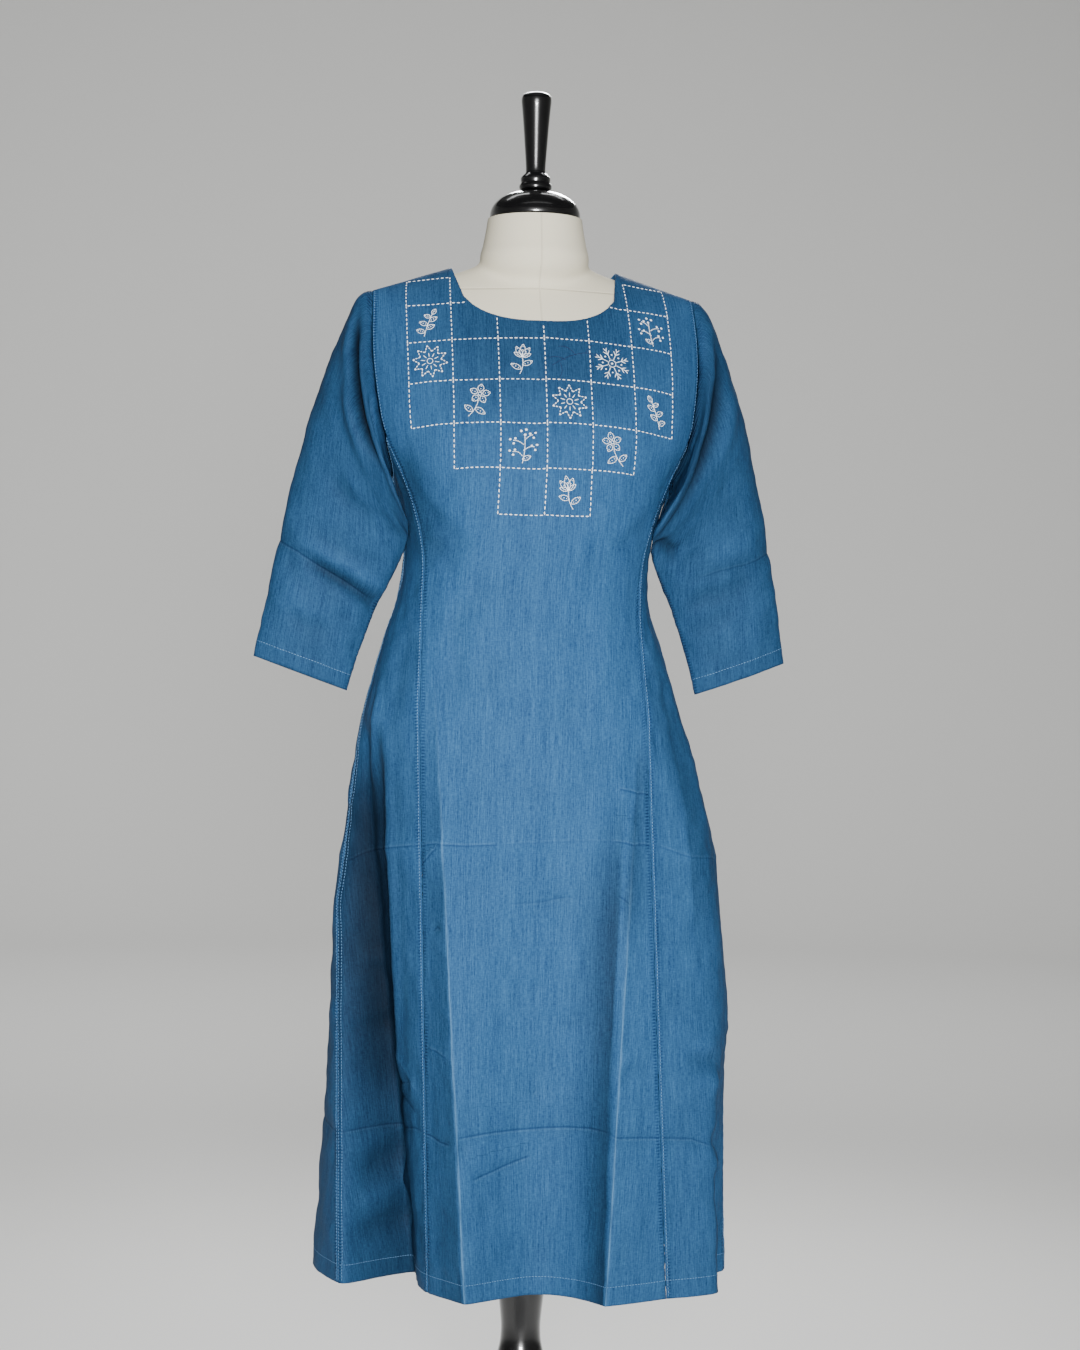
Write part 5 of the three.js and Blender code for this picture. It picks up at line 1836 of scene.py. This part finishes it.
def threads(graph, flat, wide, long, detail=1.0):
    """Noise drawn out along the threads: wide and long are the size of one streak, in millimetres."""
    place = graph.node("Mapping", {}, {"Vector": flat, "Scale": (1000 / wide, 1000 / long, 1)})
    inputs = {"Vector": place, "Scale": 1.0, "Detail": detail}
    return graph.node("TexNoise", {"noise_dimensions": "2D"}, inputs)


def blended(graph, share, first, second):
    """The first colour where the share is 0, and the second where it is 1."""
    return graph.node("Mix", {"data_type": "RGBA"}, {0: share, 6: first, 7: second}, output=2)


def denim_material():
    graph = Graph("denim")
    flat = graph.node("UVMap", {"uv_map": "flat"})
    keys = ("to_seam", "cross_line", "cross_worn", "length_line", "length_worn", "shade")
    kept = {key: graph.attribute(key) for key in keys}
    warp = threads(graph, flat, 1.3, 34)
    slub = threads(graph, flat, 0.9, 5)
    weft = threads(graph, flat, 5, 1.0)
    dye = threads(graph, flat, 16, 300, detail=2.0)
    tone = warp * 0.75 + slub * 0.7 + weft * 0.45 + dye * 0.25 - 0.575
    mixed = graph.node("MapRange", {}, {"Value": tone, "From Min": 0.1, "From Max": 0.9})
    colour = blended(graph, mixed, DENIM_DEEP, DENIM_PALE)
    # A painted shadow in the root of each pressed line, and a painted highlight on its lit side.
    pressed = bell(kept["cross_line"] + 0.2, 1.1) * kept["cross_worn"]
    lit = bell(kept["cross_line"] - 1.7, 1.1) * kept["cross_worn"] * warp * 2
    edge = bell(kept["length_line"] - 0.6, 1.3) * kept["length_worn"] * warp * 2
    up_cloth = graph.node("SeparateXYZ", {}, {"Vector": flat}, output="Y")
    turns = (up_cloth * (2 * math.pi / (TOPSTITCH["pitch"] * MM))).maths("SINE")
    uneven = threads(graph, flat, 40, 60, detail=0.0)
    # Painted shade in each pucker beside a seam, whose rise is bumped as well.
    ladder = bell(kept["to_seam"] - 3.8, 2.4) * (turns + 0.4) * uneven * 2
    dark = pressed * 0.6 + ladder.maths("MAXIMUM", 0.0) * 0.5
    colour = blended(graph, dark, colour, DENIM_CREASE_SHADE)
    # The pale wear of folded edges, with the painted highlight of pressed lines.
    pale = edge * 0.24 + lit * 0.07
    colour = blended(graph, pale, colour, DENIM_WEAR_AND_HIGHLIGHT)
    # The painted shade and highlight kept on the sheet scale the colour.
    colour = blended(graph, kept["shade"], (0, 0, 0, 1), colour)
    gathers = threads(graph, flat, 60, 3.2) * bell(kept["to_seam"], 6)
    weave = warp * 0.1 + slub * 0.12 + weft * 0.06
    height = weave + gathers * 0.9 - pressed * 0.3 + edge * 0.5 - ladder * 0.25
    bump = graph.node("Bump", {}, {"Height": height, "Strength": 1.0, "Distance": MM})
    graph.surface(base_color=colour, roughness=0.7, normal=bump)
    graph.shader.inputs["Specular IOR Level"].default_value = 0.06
    return graph.material


materials = {"denim": denim_material()}
print("denim nodes:", len(materials["denim"].node_tree.nodes))

# %% [markdown]
# ## Linen, lacquer and thread
#
# The cover is bleached linen, joined down the centre front and round the base of the neck. The wood is under
# a clear coat over black, so its gloss comes from the coat and not from the colour. Thread is nearly matt,
# because a stitch is too small for its own weave to show.

# %% The other finishes
LINEN_SEAM = 1372
LINEN_PALE = linear(214, 208, 187)
LINEN_DARK = linear(150, 140, 118)
LACQUER_BLACK = linear(10, 10, 11)


def linen_material():
    graph = Graph("linen")
    place = graph.node("TexCoord", output="Object")
    x, y, z = (graph.node("SeparateXYZ", {}, {"Vector": place}, output=axis) * (1 / MM) for axis in "XYZ")
    down_the_front = bell(x, 0.9) * (y * -1).maths("GREATER_THAN", 0.0)
    round_the_neck = bell(z - LINEN_SEAM, 0.9)
    seam = down_the_front.maths("MAXIMUM", round_the_neck)
    weave = graph.node("TexNoise", {}, {"Vector": place, "Scale": 900.0, "Detail": 2.0})
    dark = seam * 0.2 + weave * 0.12
    colour = blended(graph, dark, LINEN_PALE, LINEN_DARK)
    bump = graph.node("Bump", {}, {"Height": weave * 0.15 - seam * 0.5, "Strength": 1.0, "Distance": MM})
    graph.surface(base_color=colour, roughness=0.9, normal=bump)
    graph.shader.inputs["Specular IOR Level"].default_value = 0.2
    return graph.material


def lacquer_material():
    graph = Graph("black_lacquer")
    graph.surface(base_color=LACQUER_BLACK, roughness=0.25)
    graph.shader.inputs["Coat Weight"].default_value = 1.0
    graph.shader.inputs["Coat Roughness"].default_value = 0.05
    return graph.material


def thread_material(name, colour):
    graph = Graph(name)
    graph.surface(base_color=colour, roughness=0.6)
    graph.shader.inputs["Specular IOR Level"].default_value = 0.3
    return graph.material


materials["form_linen"] = linen_material()
materials["black_wood"] = lacquer_material()
THREADS = {
    "topstitch": thread_material("pale_blue_thread", linear(100, 143, 182)),
    "embroidery": thread_material("white_cotton", linear(238, 243, 248)),
    "twig": thread_material("navy_thread", linear(14, 26, 66)),
}
print("finishes:", ", ".join(list(materials) + list(THREADS)))

# %% Dress the pieces
def slot_of(name):
    """The slot of a piece, which is also the name of its material."""
    if name == "form_cover":
        return "form_linen"
    return "black_wood" if name.startswith("lacquered") else "denim"


for name, piece in pieces.items():
    piece.data.materials.append(materials[slot_of(name)])
for piece in [piece for sewn in stitched.values() for piece in sewn]:
    piece.data.materials.append(THREADS[piece.name.split("_")[-1]])
print("dressed:", len(pieces), "pieces and", sum(len(sewn) for sewn in stitched.values()), "sets of stitches")

# %% [markdown]
# ## The studio
#
# A pale paper floor turns up into a wall all round, so no horizon shows from any side. One soft lamp stands
# in front, behind the camera and a little above it, where it models the folds without hard shadows. Another,
# high up behind the kurti, keeps the back readable, and two washes light the wall. A picture of a sky would
# light it all at once, but it would flatten the cloth.

# %% Floor, lights and world
ROOM_RADIUS = 9000
ROOM_HEIGHT = 6000
FLOOR_BEND = 2500
FLOOR_BEND_STEPS = 16
PAPER = linear(222, 222, 220)
AIR = (0.04, 0.04, 0.04, 1)


def studio_floor():
    start = ROOM_RADIUS - FLOOR_BEND
    turns = [math.pi / 2 * k / FLOOR_BEND_STEPS for k in range(FLOOR_BEND_STEPS + 1)]
    bend = [(start + FLOOR_BEND * math.sin(turn), FLOOR_BEND - FLOOR_BEND * math.cos(turn)) for turn in turns]
    floor = spun("studio_floor", [(0, 0), *bend, (ROOM_RADIUS, ROOM_HEIGHT)], from_within=True)
    graph = Graph("studio_paper")
    graph.surface(base_color=PAPER, roughness=0.9)
    floor.data.materials.append(graph.material)
    return floor


def softbox(name, place, aim, size, power, spread):
    """A soft lamp at a place, turned to its aim. Places and sizes are metres, the power watts."""
    data = bpy.data.lights.new(name, "AREA")
    data.shape = "RECTANGLE"
    data.size, data.size_y = size
    data.energy = power
    data.spread = math.radians(spread)
    light = add_object(name, data)
    light.location = place
    light.rotation_euler = (Vector(aim) - Vector(place)).to_track_quat("-Z", "Y").to_euler()


floor = studio_floor()
softbox("key_softbox", (-0.4, -4.3, 1.15), (0, 0, 0.95), (0.9, 0.9), 36, spread=50)
softbox("rear_softbox", (0.9, 3.9, 3.5), (0, 0, 0.8), (1.6, 1.2), 40, spread=60)
softbox("back_wall_wash", (0, 2.6, 5.4), (0, 5.6, 1.2), (5.0, 2.0), 230, spread=150)
softbox("front_wall_wash", (0, -2.6, 5.4), (0, -5.6, 1.2), (5.0, 2.0), 45, spread=150)
world = bpy.data.worlds.new("studio_air")
world.use_nodes = True
world.node_tree.nodes["Background"].inputs["Color"].default_value = AIR
bpy.context.scene.world = world

# %% [markdown]
# ## What each piece stands for
#
# Every visible piece rides on the one rigid body and replaces the packed solid of the same part.

# %% Attach each piece and hide its solid
NODE_OF = {
    "form_cover": "form_torso",
    "lacquered_neck_cap": "neck_cap",
    "lacquered_handle": "cap_handle",
    "lacquered_pole": "stand_pole",
    "lacquered_base": "stand_base",
}


def cloth_area(sheet):
    """The area of the sheet in square metres."""
    p = sheet.points * MM
    first = np.cross(p[1:, 1:] - p[:-1, :-1], p[:-1, 1:] - p[:-1, :-1])
    second = np.cross(p[1:, 1:] - p[:-1, :-1], p[1:, :-1] - p[:-1, :-1])
    return float(np.linalg.norm(first, axis=-1).sum() + np.linalg.norm(second, axis=-1).sum()) / 2


def stands_for(piece, node, slot):
    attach(piece, "root")
    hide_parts(node)


for name, sewn in stitched.items():
    for piece in sewn:
        stands_for(piece, name, "denim")
for name, piece in pieces.items():
    stands_for(piece, NODE_OF.get(name, name), slot_of(name))
for name, sheet in sheets.items():
    area = round(cloth_area(sheet), 4)
floor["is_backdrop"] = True

# %% [markdown]
# ## Sizes, and the end
#
# The dressed part is meant to fill the same box as the packed one, and its size is printed here.

# %% Sizes
low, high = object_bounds()
print("visual size, m:", [round(float(side), 3) for side in high - low])
